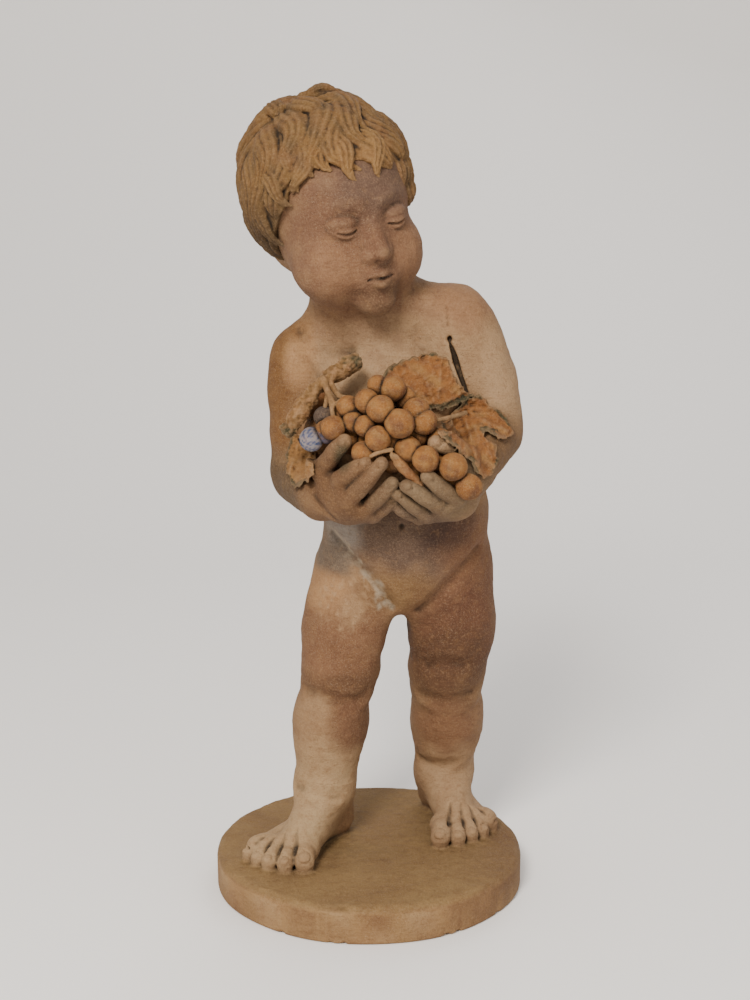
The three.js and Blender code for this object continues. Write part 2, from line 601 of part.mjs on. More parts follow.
// Thins a closed surface by closing the edge that moves it least, again and again. Each point carries
// the sum of squared distances to the planes that it has stood for, as ten numbers.
function thin({ points, triangles }, wanted, care) {
  const sums = points.map(() => new Float64Array(10));
  const around = points.map(() => new Set());
  const faces = triangles.map((t) => [...t]);
  const turned = points.map(() => 0);
  const minus = (a, b) => [a[0] - b[0], a[1] - b[1], a[2] - b[2]];
  const dot = (a, b) => a[0] * b[0] + a[1] * b[1] + a[2] * b[2];
  const cross = (a, b) => [a[1] * b[2] - a[2] * b[1], a[2] * b[0] - a[0] * b[2], a[0] * b[1] - a[1] * b[0]];
  const normalOf = (a, b, c) => cross(minus(b, a), minus(c, a));

  faces.forEach((f, n) => {
    f.forEach((v) => around[v].add(n));
    const [a, b, c] = f.map((v) => points[v]);
    const normal = normalOf(a, b, c);
    const area = Math.sqrt(dot(normal, normal));
    if (area < 1e-9) return;
    const [x, y, z] = normal.map((v) => v / area);
    const w = -dot([x, y, z], a);
    const plane = [x * x, x * y, x * z, x * w, y * y, y * z, y * w, z * z, z * w, w * w];
    const weight = area * care(a);
    f.forEach((v) => plane.forEach((p, i) => (sums[v][i] += p * weight)));
  });

  const error = (q, [x, y, z]) =>
    q[0] * x * x + 2 * q[1] * x * y + 2 * q[2] * x * z + 2 * q[3] * x + q[4] * y * y +
    2 * q[5] * y * z + 2 * q[6] * y + q[7] * z * z + 2 * q[8] * z + q[9];

  // The point of least error for an edge, or the better of its ends and middle where that is unsteady.
  const place = (q, a, b) => {
    const [u, v, w] = [[q[0], q[1], q[2]], [q[1], q[4], q[5]], [q[2], q[5], q[7]]];
    const wanted = [-q[3], -q[6], -q[8]];
    const det = dot(u, cross(v, w));
    const middle = mix(a, b, 0.5);
    const edge = minus(a, b);
    if (Math.abs(det) > 1e-6) {
      const solved = [dot(wanted, cross(v, w)), dot(u, cross(wanted, w)), dot(u, cross(v, wanted))];
      const best = solved.map((value) => value / det);
      const far = minus(best, middle);
      if (dot(far, far) < 2 * dot(edge, edge)) return best;
    }
    return [a, b, middle].sort((p, r) => error(q, p) - error(q, r))[0];
  };

  const heap = [];
  const sift = (i) => {
    const entry = heap[i];
    while (i > 0 && heap[(i - 1) >> 1].cost > entry.cost) {
      heap[i] = heap[(i - 1) >> 1];
      i = (i - 1) >> 1;
    }
    heap[i] = entry;
  };
  const pop = () => {
    const top = heap[0];
    const last = heap.pop();
    if (heap.length) {
      let i = 0;
      for (;;) {
        let child = 2 * i + 1;
        if (child >= heap.length) break;
        if (child + 1 < heap.length && heap[child + 1].cost < heap[child].cost) child++;
        if (heap[child].cost >= last.cost) break;
        heap[i] = heap[child];
        i = child;
      }
      heap[i] = last;
    }
    return top;
  };
  const push = (a, b) => {
    const q = sums[a].map((v, i) => v + sums[b][i]);
    const to = place(q, points[a], points[b]);
    const edge = minus(points[a], points[b]);
    heap.push({ cost: error(q, to) + 1e-3 * dot(edge, edge), a, b, to, stamp: turned[a] + turned[b] });
    sift(heap.length - 1);
  };
  const neighbours = (v) => {
    const found = new Set();
    for (const n of around[v]) for (const u of faces[n]) if (u !== v) found.add(u);
    return found;
  };
  const shapely = (v, other, to) => {
    for (const n of around[v]) {
      if (around[other].has(n)) continue;
      const [a, b, c] = faces[n].map((u) => points[u]);
      const [p, q, r] = faces[n].map((u) => (u === v ? to : points[u]));
      const before = normalOf(a, b, c);
      const after = normalOf(p, q, r);
      const lengths = Math.sqrt(dot(before, before) * dot(after, after));
      if (dot(before, after) < 0.2 * lengths) return false;
      const sides = [minus(p, q), minus(q, r), minus(r, p)].map((e) => dot(e, e));
      if (Math.sqrt(dot(after, after)) < 0.08 * Math.max(...sides)) return false;
    }
    return true;
  };

  points.forEach((_, v) => neighbours(v).forEach((u) => v < u && push(v, u)));
  let left = faces.length;
  const gone = new Set();
  while (left > wanted && heap.length) {
    const { a, b, to, stamp } = pop();
    if (gone.has(a) || gone.has(b) || stamp !== turned[a] + turned[b]) continue;
    const [ofA, ofB] = [neighbours(a), neighbours(b)];
    const shared = [...ofA].filter((v) => ofB.has(v));
    if (shared.length !== 2 || !ofA.has(b)) continue;
    if (!shapely(a, b, to) || !shapely(b, a, to)) continue;
    for (const n of [...around[b]]) {
      if (around[a].has(n)) {
        faces[n].forEach((v) => around[v].delete(n));
        faces[n] = null;
        left--;
      } else {
        faces[n] = faces[n].map((v) => (v === b ? a : v));
        around[a].add(n);
      }
    }
    around[b].clear();
    gone.add(b);
    points[a] = to;
    sums[b].forEach((v, i) => (sums[a][i] += v));
    turned[a]++;
    neighbours(a).forEach((v) => push(a, v));
  }
  return { points, triangles: faces.filter(Boolean) };
}

function solidOf(geometry) {
  for (const name of ["normal", "uv"]) geometry.deleteAttribute(name);
  const merged = mergeVertices(geometry, 1e-4);
  return new wasm.Manifold(
    new wasm.Mesh({
      numProp: 3,
      vertProperties: merged.attributes.position.array,
      triVerts: new Uint32Array(merged.index.array),
    }),
  );
}

// The outer surface of a joined solid.
function geometryOf(solid) {
  const { vertProperties, triVerts } = solid.getMesh();
  const inThrees = (list) =>
    Array.from({ length: list.length / 3 }, (_, i) => [...list.slice(3 * i, 3 * i + 3)]);
  const outer = outerSkin({ points: inThrees(vertProperties), triangles: inThrees(triVerts) });
  return new THREE.BufferGeometry()
    .setAttribute("position", new THREE.BufferAttribute(vertProperties, 3))
    .setIndex(outer.triangles.flat());
}

function figure() {
  const body = [
    ...trunk(), ...leg(right), ...leg(left), ...betweenLegs(), ...foot(right), ...foot(left),
    ...arm(right), ...arm(left), ...face(),
  ];
  const gathered = [...hand(right), ...hand(left), ...hair(), ...cane(), ...chain(bunchCore, 4)];
  const steps = [...body, ...Object.values(leaves).map(pressLeaf), ...gathered];
  const region = {
    low: [0, 1, 2].map((i) => Math.min(...body.map((s) => s.low[i]), ...gathered.map((s) => s.low[i]))),
    high: [0, 1, 2].map((i) => Math.max(...body.map((s) => s.high[i]), ...gathered.map((s) => s.high[i]))),
  };
  const carved = ([, y, z]) => z > head.centre[2] - 90 || z < 30 || (y < -60 && z > 300);
  const care = (p) => (carved(p) ? carvedCare : 1);
  const thinned = thin(outerSkin(skin(layClay(steps, region))), figureTriangles, care);
  const geometry = new THREE.BufferGeometry()
    .setAttribute("position", new THREE.Float32BufferAttribute(thinned.points.flat(), 3))
    .setIndex(thinned.triangles.flat())
    .toNonIndexed()
    .scale(share, share, share)
    .translate(0, 0, baseThickness);
  return solidOf(geometry);
}

// The base is a thick disc with its edges rubbed round and a flat along the back.
function base() {
  const radius = baseDiameter / 2;
  const flat = Math.min(baseBackFlat, radius - 1);
  const half = Math.acos(flat / radius);
  const outline = new THREE.Shape();
  outline.absarc(0, 0, radius, Math.PI / 2 + half, 2.5 * Math.PI - half, false);
  const geometry = new THREE.ExtrudeGeometry(outline, {
    depth: baseThickness - 2 * baseEdgeRound,
    bevelThickness: baseEdgeRound,
    bevelSize: baseEdgeRound,
    bevelOffset: -baseEdgeRound,
    bevelSegments: 2,
    curveSegments: baseSides,
  });
  geometry.translate(0, 0, baseEdgeRound);
  return solidOf(geometry);
}

const clayMaterial = new THREE.MeshStandardMaterial({ color: 0xb98a62, roughness: 0.9, metalness: 0 });
const whole = bunch().reduce((clay, grape) => clay.add(grape), base().add(figure()));
const putto = new THREE.Mesh(geometryOf(whole), clayMaterial);
putto.name = "putto_figure";

const group = new THREE.Group();
group.add(putto);

export default group;
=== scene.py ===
import math

import bpy
import numpy as np
import openvdb
from mathutils import Euler, Matrix, Vector


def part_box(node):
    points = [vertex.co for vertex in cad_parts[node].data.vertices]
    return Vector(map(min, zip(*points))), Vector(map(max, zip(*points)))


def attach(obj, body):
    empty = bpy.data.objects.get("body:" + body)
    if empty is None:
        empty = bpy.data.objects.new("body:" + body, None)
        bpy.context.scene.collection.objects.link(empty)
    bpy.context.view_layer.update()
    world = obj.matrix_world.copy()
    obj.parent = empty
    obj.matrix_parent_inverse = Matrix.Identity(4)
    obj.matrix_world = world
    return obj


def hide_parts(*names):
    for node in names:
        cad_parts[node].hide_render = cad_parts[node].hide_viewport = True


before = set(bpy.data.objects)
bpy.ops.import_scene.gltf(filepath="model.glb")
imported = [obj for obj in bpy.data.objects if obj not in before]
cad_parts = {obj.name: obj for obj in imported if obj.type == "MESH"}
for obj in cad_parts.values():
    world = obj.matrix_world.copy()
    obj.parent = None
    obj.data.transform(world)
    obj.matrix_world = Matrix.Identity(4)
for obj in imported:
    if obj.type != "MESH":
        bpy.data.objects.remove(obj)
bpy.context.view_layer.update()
nodeLow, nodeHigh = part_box("putto_figure")

# The figure is drawn in millimetres from the middle of the base's top, facing -Y, as the solid is.
# unit turns them into metres at the solid's own height.
drawn = {"height": 700.0, "baseThickness": 33.0}
unit = (nodeHigh.z - nodeLow.z) / drawn["height"]
right, left = -1, 1  # the figure's own right is on -X
sides = (right, left)


def vec(*values):
    return np.array(values, float)


def mix(a, b, t):
    return np.asarray(a, float) * (1 - t) + np.asarray(b, float) * t


def off(p, x=0, y=0, z=0):
    return vec(p[0] + x, p[1] + y, p[2] + z)


def dot(p, way):
    return p[0] * way[0] + p[1] * way[1] + p[2] * way[2]


def length(*parts):
    return np.sqrt(sum(part ** 2 for part in parts))


def direction(v):
    return v / np.linalg.norm(v)


# Clay lumps: each has a box, a fillet to the clay before it, and the distance from a point to its skin
def lump(low, high, fillet, distance):
    return {"low": low, "high": high, "fillet": fillet, "distance": distance, "cuts": False}


def cut(shape):
    return {**shape, "cuts": True}


def limb(a, b, ra, rb, fillet=8.0):
    a, b = vec(*a), vec(*b)
    run = b - a
    span = float(run @ run) or 1.0

    def distance(x, y, z):
        p = (x - a[0], y - a[1], z - a[2])
        t = np.clip(dot(p, run) / span, 0, 1)
        return length(*(v - t * r for v, r in zip(p, run))) - (ra + t * (rb - ra))

    return lump(np.minimum(a - ra, b - rb), np.maximum(a + ra, b + rb), fillet, distance)


def chain(stops, fillet):
    return [limb(p, q, rp, rq, fillet) for (p, rp), (q, rq) in zip(stops, stops[1:])]


# A limb of flesh: a smooth curve through stops of a place and a radius
def tube(stops, fillet=8.0, parts=4):
    knots = np.array([[*p, r] for p, r in stops], float)
    knots = np.vstack([2 * knots[0] - knots[1], knots, 2 * knots[-1] - knots[-2]])
    run = []
    for a, b, c, d in zip(knots, knots[1:], knots[2:], knots[3:]):
        for t in np.arange(parts) / parts:
            run.append(0.5 * (2 * b + (c - a) * t + (2 * a - 5 * b + 4 * c - d) * t * t
                              + (3 * b - a - 3 * c + d) * t ** 3))
    run.append(knots[-2])
    spans = [limb(p[:3], q[:3], p[3], q[3], 0) for p, q in zip(run, run[1:])]

    def distance(x, y, z):
        nearest = spans[0]["distance"](x, y, z)
        for span in spans[1:]:
            nearest = np.minimum(nearest, span["distance"](x, y, z))
        return nearest

    low = np.min([span["low"] for span in spans], axis=0)
    high = np.max([span["high"] for span in spans], axis=0)
    return lump(low, high, fillet, distance)


def egg(centre, radii, fillet=8.0, turn=None):
    c, r = vec(*centre), vec(*radii)
    m = np.identity(3) if turn is None else np.array(turn, float)
    reach = np.sqrt(((m * r) ** 2).sum(axis=1))

    def distance(x, y, z):
        p = (x - c[0], y - c[1], z - c[2])
        q = [dot(p, m[:, i]) / r[i] for i in range(3)]
        near, slope = length(*q), length(*(v / part for v, part in zip(q, r)))
        return near * (near - 1) / np.maximum(slope, 1e-6)

    return lump(c - reach, c + reach, fillet, distance)


# A block of clay as distances on a grid, in which lumps are laid in order
class Clay:
    far = 40.0  # the distance given to places that no lump has come near

    def __init__(self, low, high, step):
        self.step = step
        self.axes = [np.arange(lo, hi + step, step, dtype=np.float32) for lo, hi in zip(low, high)]
        self.field = np.full([len(axis) for axis in self.axes], self.far, np.float32)

    def window(self, low, high):
        spans = [slice(*np.searchsorted(axis, (lo, hi))) for axis, lo, hi in zip(self.axes, low, high)]
        x, y, z = [axis[span] for axis, span in zip(self.axes, spans)]
        return tuple(spans), (x[:, None, None], y[None, :, None], z[None, None, :])

    def lay(self, lumps):
        for piece in lumps:
            k = piece["fillet"]
            reach = k + 2 * self.step
            where, points = self.window(piece["low"] - reach, piece["high"] + reach)
            was = self.field[where]
            if was.size == 0:
                continue
            d = piece["distance"](*points).astype(np.float32)
            d = -d if piece["cuts"] else d
            near = np.maximum(0, k - np.abs(was - d))
            rounded = near * near / (4 * k) if k else 0
            if piece["cuts"]:
                self.field[where] = np.maximum(was, d) + rounded
            else:
                self.field[where] = np.minimum(was, d) - rounded

    def nearest(self, value, axis):
        return round((value - self.axes[axis][0]) / self.step)

    # Where the clay is first met at a place seen from the front, and from above
    def front(self, x, z):
        return firstMet(self.axes[1], self.field[self.nearest(x, 0), :, self.nearest(z, 2)])

    def top(self, x, y, below):
        high = self.nearest(below, 2)
        return firstMet(self.axes[2][high::-1], self.field[self.nearest(x, 0), self.nearest(y, 1), high::-1])

    def blurred(self, radius):
        n = max(1, round(radius / self.step))
        soft = np.clip(self.field, -3 * radius, 3 * radius)
        for axis in range(3):
            padded = np.concatenate([np.repeat(soft.take([0], axis), n + 1, axis), soft,
                                     np.repeat(soft.take([-1], axis), n, axis)], axis)
            total = np.cumsum(padded, axis, dtype=np.float64)
            count = soft.shape[axis]
            ahead = total.take(range(2 * n + 1, 2 * n + 1 + count), axis)
            soft = ((ahead - total.take(range(count), axis)) / (2 * n + 1)).astype(np.float32)
        return soft

    def sample(self, field, points):
        index = [(points[:, i] - self.axes[i][0]) / self.step for i in range(3)]
        base = [np.clip(np.floor(v).astype(int), 0, field.shape[i] - 2) for i, v in enumerate(index)]
        part = [np.clip(v - b, 0, 1) for v, b in zip(index, base)]
        found = 0
        for corner in range(8):
            bits = [(corner >> i) & 1 for i in range(3)]
            weight = np.prod([part[i] if bit else 1 - part[i] for i, bit in enumerate(bits)], axis=0)
            found = found + weight * field[tuple(base[i] + bit for i, bit in enumerate(bits))]
        return found


def firstMet(axis, column):
    j = int(np.argmax(column <= max(0, column.min())))
    out, within = float(column[j - 1]), float(column[j])
    return float(axis[j - 1]) + float(axis[j] - axis[j - 1]) * min(1, out / max(1e-6, out - within))


# Joints and masses
pose = {
    "pelvis": (32, 22, 254), "belly": (33, 8, 308), "chest": (21, 10, 394),
    "neckFoot": (12, 10, 458), "neckTop": (-10, 2, 508),
    "shoulder": {right: (-52, 10, 440), left: (73, 12, 473)},
    "elbow": {right: (-57, 8, 342), left: (105, 3, 378)},
    "wrist": {right: (-40, -58, 332), left: (87, -58, 356)},
    "hip": {right: (-2, 24, 244), left: (66, 26, 244)},
    "thigh": {right: (-18, 14, 209), left: (74, 27, 206)},
    "knee": {right: (-28, 4, 152), left: (71, 34, 142)},
    "calf": {right: (-35, 8, 112), left: (73, 48, 104)},
    "ankle": {right: (-40, 10, 50), left: (71, 70, 42)},
    "heel": {right: (-36, 24, 18), left: (69, 88, 18)},
    "instep": {right: (-60, -34, 15), left: (80, 28, 15)},
    "parting": (27, 0, 206),
}


def trunk():
    chest, pelvis, neckFoot, neckTop = (pose[n] for n in ("chest", "pelvis", "neckFoot", "neckTop"))
    made = [egg(chest, (69, 52, 66), 10), egg(pose["belly"], (73, 63, 66), 30), egg(pelvis, (76, 56, 48), 30)]
    for side in sides:
        shoulder = pose["shoulder"][side]
        made += [
            egg(off(chest, side * 28, -30, 20), (30, 19, 26), 16),
            egg(off(chest, side * 34, 36, 14), (30, 16, 34), 16),
            limb(mix(neckTop, shoulder, 0.4), mix(neckFoot, shoulder, 0.85), 25, 28, 20),
            egg(off(shoulder, 4 + side * 2, 0, -18), (34, 34, 38), 16),
            egg(off(pelvis, side * 33, 32, -14), (38, 36, 40), 16),
        ]
    made += [limb(neckFoot, neckTop, 36, 38, 14), egg(off(neckTop, 4, 16, -20), (36, 32, 38), 14)]
    made += [cut(limb(off(pose["belly"], 2, 74, 0), off(chest, -4, 66, 30), 9, 7, 18))]
    return made


# The right leg bears the weight and the left stands back
def leg(side):
    at = {name: vec(*pose[name][side]) for name in ("hip", "thigh", "knee", "calf", "ankle", "heel")}
    crease = mix(at["knee"], at["calf"], 0.28)
    shin = mix(at["calf"], at["ankle"], 0.62)
    upper = [(at["hip"], 40), (at["thigh"], 40), (mix(at["thigh"], at["knee"], 0.5), 37.5), (at["knee"], 34)]
    lower = [(at["knee"], 30), (crease, 31), (at["calf"], 33), (shin, 28.5), (at["ankle"], 26)]
    return [
        tube(upper, 22),
        tube(lower, 3),
        egg(off(at["calf"], 0, 7), (31, 32, 38), 12),
        egg(off(at["thigh"], 0, 4, -4), (36, 41, 48), 14),
        limb(at["ankle"], at["heel"], 25, 20, 12),
    ]


def betweenLegs():
    x, _, z = pose["parting"]
    return [cut(tube([((x - 0.1 * drop, y, z - drop), 6 + 0.16 * drop) for y in (-90, 110)], 9, 1))
            for drop in (-3, 8, 20, 34)]


toeTips = {
    right: ((-56, -66), (-73, -67), (-87, -61), (-98, -53), (-106, -42)),
    left: ((65, -13), (81, -9), (94, 0), (105, 10), (114, 23)),
}
toeRadii = (9.5, 7.8, 7.3, 6.8, 6.4)


def toes(side):
    instep = pose["instep"][side]
    made = []
    for i, ((x, y), r) in enumerate(zip(toeTips[side], toeRadii)):
        pull = 0.56 - 0.03 * i
        root = vec(x + (instep[0] - x) * pull * 0.4, y + (instep[1] - y) * pull, 11)
        knuckle = vec((x + root[0]) / 2, (y + root[1]) / 2, r + 3)
        made.append({"root": root, "knuckle": knuckle, "tip": vec(x, y, r - 1), "radius": r})
    return made


def foot(side):
    instep, heel, ankle = (pose[n][side] for n in ("instep", "heel", "ankle"))
    five = toes(side)
    made = [
        limb(heel, instep, 18, 15, 10),
        limb((heel[0], heel[1], 14), (*five[4]["root"][:2], 9), 17, 9, 10),
        limb(mix(ankle, instep, 0.15), instep, 22, 14, 12),
        limb(five[0]["root"], five[4]["root"], 12, 9, 10),
    ]
    for toe in five:
        r = toe["radius"]
        made += [tube([(toe["root"], r), (toe["knuckle"], r * 0.96), (toe["tip"], r * 0.96)], 1.6)]
    return made


def arm(side):
    shoulder, elbow, wrist = (vec(*pose[n][side]) for n in ("shoulder", "elbow", "wrist"))
    outward = 9 if side == left else -2
    upper = off(mix(shoulder, elbow, 0.5), outward)
    return [
        tube([(shoulder, 33), (upper, 30.5), (off(elbow, 0, 0, 12), 28.5), (elbow, 28)], 14),
        tube([(elbow, 28), (mix(elbow, wrist, 0.45), 26), (wrist, 19)], 7),
    ]


# Each hand: its palm, and each finger from its root over a bend to its tip, thumb first
hands = {
    right: {"palm": (-18, -80, 331), "fingers": (
        ((-38, -80, 358), (-28, -98, 374), (-19, -106, 385)),
        ((-22, -97, 352), (-12, -109, 362), (-3, -112, 369)),
        ((-16, -98, 336), (-2, -112, 353), (11, -114, 368)),
        ((-3, -92, 327), (10, -106, 340), (20, -110, 352)),
        ((4, -84, 321), (15, -96, 331), (24, -101, 343)),
    )},
    left: {"palm": (72, -80, 335), "fingers": (
        ((79, -84, 366), (66, -100, 379), (54, -106, 384)),
        ((71, -99, 338), (59, -112, 348), (48, -117, 358)),
        ((62, -96, 329), (46, -110, 340), (31, -114, 350)),
        ((48, -91, 323), (35, -102, 333), (24, -107, 342)),
        ((42, -82, 319), (30, -92, 325), (21, -97, 334)),
    )},
}
fingerRadii = (7.6, 7.2, 7.0, 6.4, 5.8)


def hand(side):
    palm, fingers = hands[side]["palm"], hands[side]["fingers"]
    made = [limb(pose["wrist"][side], palm, 18.5, 18, 8)]
    made += [limb(palm, finger[0], 14, r + 1.5, 8) for finger, r in zip(fingers[1:], fingerRadii[1:])]
    made += [limb(palm, fingers[0][0], 14, 10, 8)]
    for (root, bend, tip), r in zip(fingers, fingerRadii):
        made += [tube([(root, r * 1.14), (bend, r), (tip, r * 0.82)], 1.6)]
    return made


# The head turns as one: in its own frame -Y is out of the face and +Z through the crown. Its turns,
# in degrees, are about X, Y and Z.
head = {"centre": vec(-29, -14, 568), "turn": (12, -13, 27)}
headTurn = np.array((Matrix.Rotation(math.radians(head["turn"][1]), 3, "Y")
                     @ Matrix.Rotation(math.radians(head["turn"][2]), 3, "Z")
                     @ Matrix.Rotation(math.radians(head["turn"][0]), 3, "X")))


def inHead(p):
    return headTurn @ vec(*p) + head["centre"]


def headEgg(centre, radii, fillet):
    return egg(inHead(centre), radii, fillet, headTurn)


def headTube(stops, fillet, parts):
    return tube([(inHead(p), r) for p, r in stops], fillet, parts)


def skull():
    return [headEgg((0, 12, 20), (62, 70, 63), 8), headEgg((0, 34, -18), (48, 42, 42), 16)]


# A calm infant's face on the usual proportions: eyes halfway, nose and mouth dividing the rest
face = {
    "eyes": {"apart": 22.5, "out": -55, "level": -5, "radius": 12},
    "brow": {"level": 11, "arch": 5},
    "nose": {"bridge": (0, -62, -3), "tip": (0, -76.5, -26), "wing": 7.6},
    "mouth": {"level": -48, "half": 15},
    "chin": (0, -57, -70),
}


# One rim of an eye: a shallow arc laid on the eyeball
def lidLine(side, rise, half, radius):
    eyes = face["eyes"]
    stops = []
    for t in np.linspace(-1, 1, 7):
        across, up = t * half, rise * (1 - t * t)
        deep = math.sqrt(max(1, eyes["radius"] ** 2 - 0.6 * across ** 2 - up ** 2))
        place = (side * eyes["apart"] + across, eyes["out"] - deep + 0.02 * across ** 2, eyes["level"] + up)
        stops.append((inHead(place), radius * (1 - 0.6 * t * t)))
    return tube(stops, 1.5, 2)


def eye(side):
    eyes, brow = face["eyes"], face["brow"]
    x, out, level = side * eyes["apart"], eyes["out"], eyes["level"]
    arc = []
    for t in np.linspace(0, 1, 5):
        arch = brow["arch"] * math.sin(math.pi * (0.15 + 0.75 * t))
        arc.append(((side * (9 + 25 * t), -65 + 13 * t * t, brow["level"] + arch), 4.8 - 2 * t))
    return [
        cut(headEgg((x, -76, level + 2), (15, 9, 8), 10)),
        headEgg((x, out, level), (13, 12, 11), 2),
        headEgg((x, out - 0.6, level + 5), (13.8, 12.8, 8.6), 0.8),
        lidLine(side, -1.2, 12.5, 1.9), lidLine(side, -6, 11.5, 1.7), cut(lidLine(side, -3.6, 10.5, 1.1)),
        headTube(arc, 7, 3),
    ]


def nose():
    (_, out, level), wing = face["nose"]["tip"], face["nose"]["wing"]
    bridge, tip = ((inHead(face["nose"][n]), r) for n, r in (("bridge", 5), ("tip", 6.8)))
    made = chain([bridge, tip], 10)
    made += [headEgg((s * wing, out + 7.5, level - 2), (5.4, 6.4, 5.2), 4) for s in sides]
    return made + [cut(headEgg((s * 4.3, out + 0.5, level - 8), (2.4, 4, 2.2), 1.5)) for s in sides]


def mouth():
    half, z = face["mouth"]["half"], face["mouth"]["level"]
    made, steps = [], np.linspace(0, 1, 5)
    for s in sides:
        upper = [((s * half * t, -71.5 + 9 * t * t,
                   z + 2.8 + 1.2 * math.sin(math.pi * t) - 2.4 * t * t), 3.8 - 2 * t) for t in steps]
        lower = [((s * half * 0.88 * t, -70.5 + 8 * t * t,
                   z - 4.2 + 3.6 * t * t), 4.6 - 2.8 * t) for t in steps]
        made += [headTube(rim, 1.8, 2) for rim in (upper, lower)]
    parting = [((half * t, -73.4 + 8 * t * t, z - 0.5 + 0.8 * t * t), 1.5 - 1.1 * t * t)
               for t in np.linspace(-1, 1, 9)]
    return made + [cut(headTube(parting, 1.2, 2))]


def faceLumps():
    made = [headEgg((0, -22, -28), (54, 48, 53), 18), headEgg((0, -28, 16), (50, 40, 42), 14)]
    made += [headEgg((s * 30, -37, -37), (26, 26, 27), 14) for s in sides]
    made += [headEgg(face["chin"], (16, 13, 12), 12)]
    made += [headEgg((0, -60, face["mouth"]["level"]), (19, 11, 12), 10)]
    return made + eye(right) + eye(left) + nose() + mouth()


# Locks lie on the scalp in rings round the crown, each over the roots of the next
scalp = {"centre": (0, 12, 22), "radii": (66, 75, 68), "crown": (0, 0.3, 0.95)}
lockRings = (  # where each starts, how far it sweeps, how many locks, how wide
    (1, 50, 9, 11), (19, 50, 14, 10.5), (37, 48, 18, 10.5), (54, 46, 20, 10.5),
    (71, 40, 21, 10), (88, 36, 20, 9.5), (104, 30, 18, 9), (119, 24, 14, 8.5),
)
strand = {"across": 3.4, "depth": 0.75, "height": 0.44}


# How far down from the crown the hair reaches, by the way round from the front, both in degrees
hairline = (
    (-180, 158), (-130, 150), (-90, 130), (-67, 116), (-50, 102), (-39, 96), (-25, 91), (-10, 92), (0, 95),
    (12, 97), (25, 94), (38, 107), (50, 124), (70, 130), (90, 134), (130, 150), (180, 158),
)


def hairReach(around):
    return np.interp(np.degrees(around), *zip(*hairline))


# The hair is combed from the crown in waves, and away from the middle of the forehead
combing = {"swirl": 0.25, "parting": 0.45, "wave": 0.75, "turns": 3, "ripple": 5.2, "hook": 1.4,
           "curl": 5, "shortest": 9}


def combed(down, around, sweep):
    path, step = [], math.radians(sweep) / 8
    for i in range(9):
        path.append((down, around))
        lean = combing["swirl"] + combing["parting"] * math.sin(around)
        lean += combing["wave"] * math.sin(combing["turns"] * around + combing["ripple"] * down)
        lean *= 1 + combing["hook"] * max(0, i - 4) / 4
        around += step * lean / max(0.4, math.sin(down))
        down += step
    return path


def straight(start, end):
    path = []
    for t in np.linspace(0, 1, 9):
        down, around = (math.radians(v) for v in mix(start, end, t))
        bend = math.radians(combing["curl"] * math.sin(t * math.pi * 1.7))
        path.append((down, around + bend / max(0.45, math.sin(down))))
    return path


# Locks with a place of their own: where they start and end, down from the crown and round from the
# front, how wide they are and how far they stand up
ownLocks = {
    "top bump": ((8, -20), (30, 60), 9, 8), "tuft": ((34, -60), (16, -104), 8, 7),
    "fringe": ((66, -20), (101, -2), 8.5, 4), "fringe left": ((64, -42), (92, -26), 8, 3),
    "temple tip": ((66, -34), (98, -39), 7, 3), "fringe right": ((68, 8), (102, 14), 8, 4),
    "temple roll": ((74, -74), (105, -46), 8, 5), "temple curl top": ((72, -60), (84, -34), 6.5, 5),
    "temple curl end": ((78, -36), (98, -42), 6, 4), "before the ear": ((76, 42), (126, 52), 8.5, 3),
    "behind the ear": ((88, -96), (130, -76), 8.5, 3), "nape": ((104, -120), (142, -112), 8.5, 3),
}


crown = Vector(scalp["crown"]).normalized()
crownFront = (Vector((0, -1, 0)) + crown * crown.y).normalized()
crownSide = crown.cross(crownFront)


def onScalp(down, around, lift):
    level = crownFront * math.cos(around) + crownSide * math.sin(around)
    d = crown * math.cos(down) + level * math.sin(down)
    out = 1 / math.sqrt(sum((v / r) ** 2 for v, r in zip(d, scalp["radii"])))
    return vec(*scalp["centre"]) + np.array(d) * (out + lift)


# One flat stretch of a lock, with its strands as ridges along it
def ribbon(p, q, outward, wp, wq, phase, fillet):
    span = float(np.linalg.norm(q - p))
    along = (q - p) / span
    across = direction(np.cross(along, outward))
    up = np.cross(across, along)
    wide = max(wp, wq)

    def distance(x, y, z):
        r = (x - p[0], y - p[1], z - p[2])
        a, u, n = dot(r, along), dot(r, across), dot(r, up)
        t = np.clip(a / span, 0, 1)
        w = wp + (wq - wp) * t
        h = w * strand["height"]
        near = length(u / w, n / h, (a - t * span) / h)
        ridges = strand["depth"] * np.cos(np.pi * strand["across"] * u / w + phase) * np.clip(w / 5, 0, 1)
        return (near - 1) * h - ridges * np.clip(1.4 - np.abs(u / w), 0, 1)

    return lump(np.minimum(p, q) - wide - 1, np.maximum(p, q) + wide + 1, fillet, distance)


# A lock along a path on the scalp, fat in the middle and pointed at its tip
def lock(path, width, phase, raised=0.0):
    fat = (0.6, 0.92, 1.08, 1.1, 1.0, 0.86, 0.66, 0.42, 0.14)
    stops = []
    for i, ((down, around), f) in enumerate(zip(path, fat)):
        t = i / (len(fat) - 1)
        lift = width * (0.32 * math.sin(t * math.pi * 0.62) - 0.12) + raised * math.sin(t * math.pi * 0.9)
        stops.append((inHead(onScalp(down, around, lift)), width * f))
    middle = inHead(scalp["centre"])
    return [ribbon(p, q, (p + q) / 2 - middle, wp, wq, phase, 0.5)
            for (p, wp), (q, wq) in zip(stops, stops[1:])]


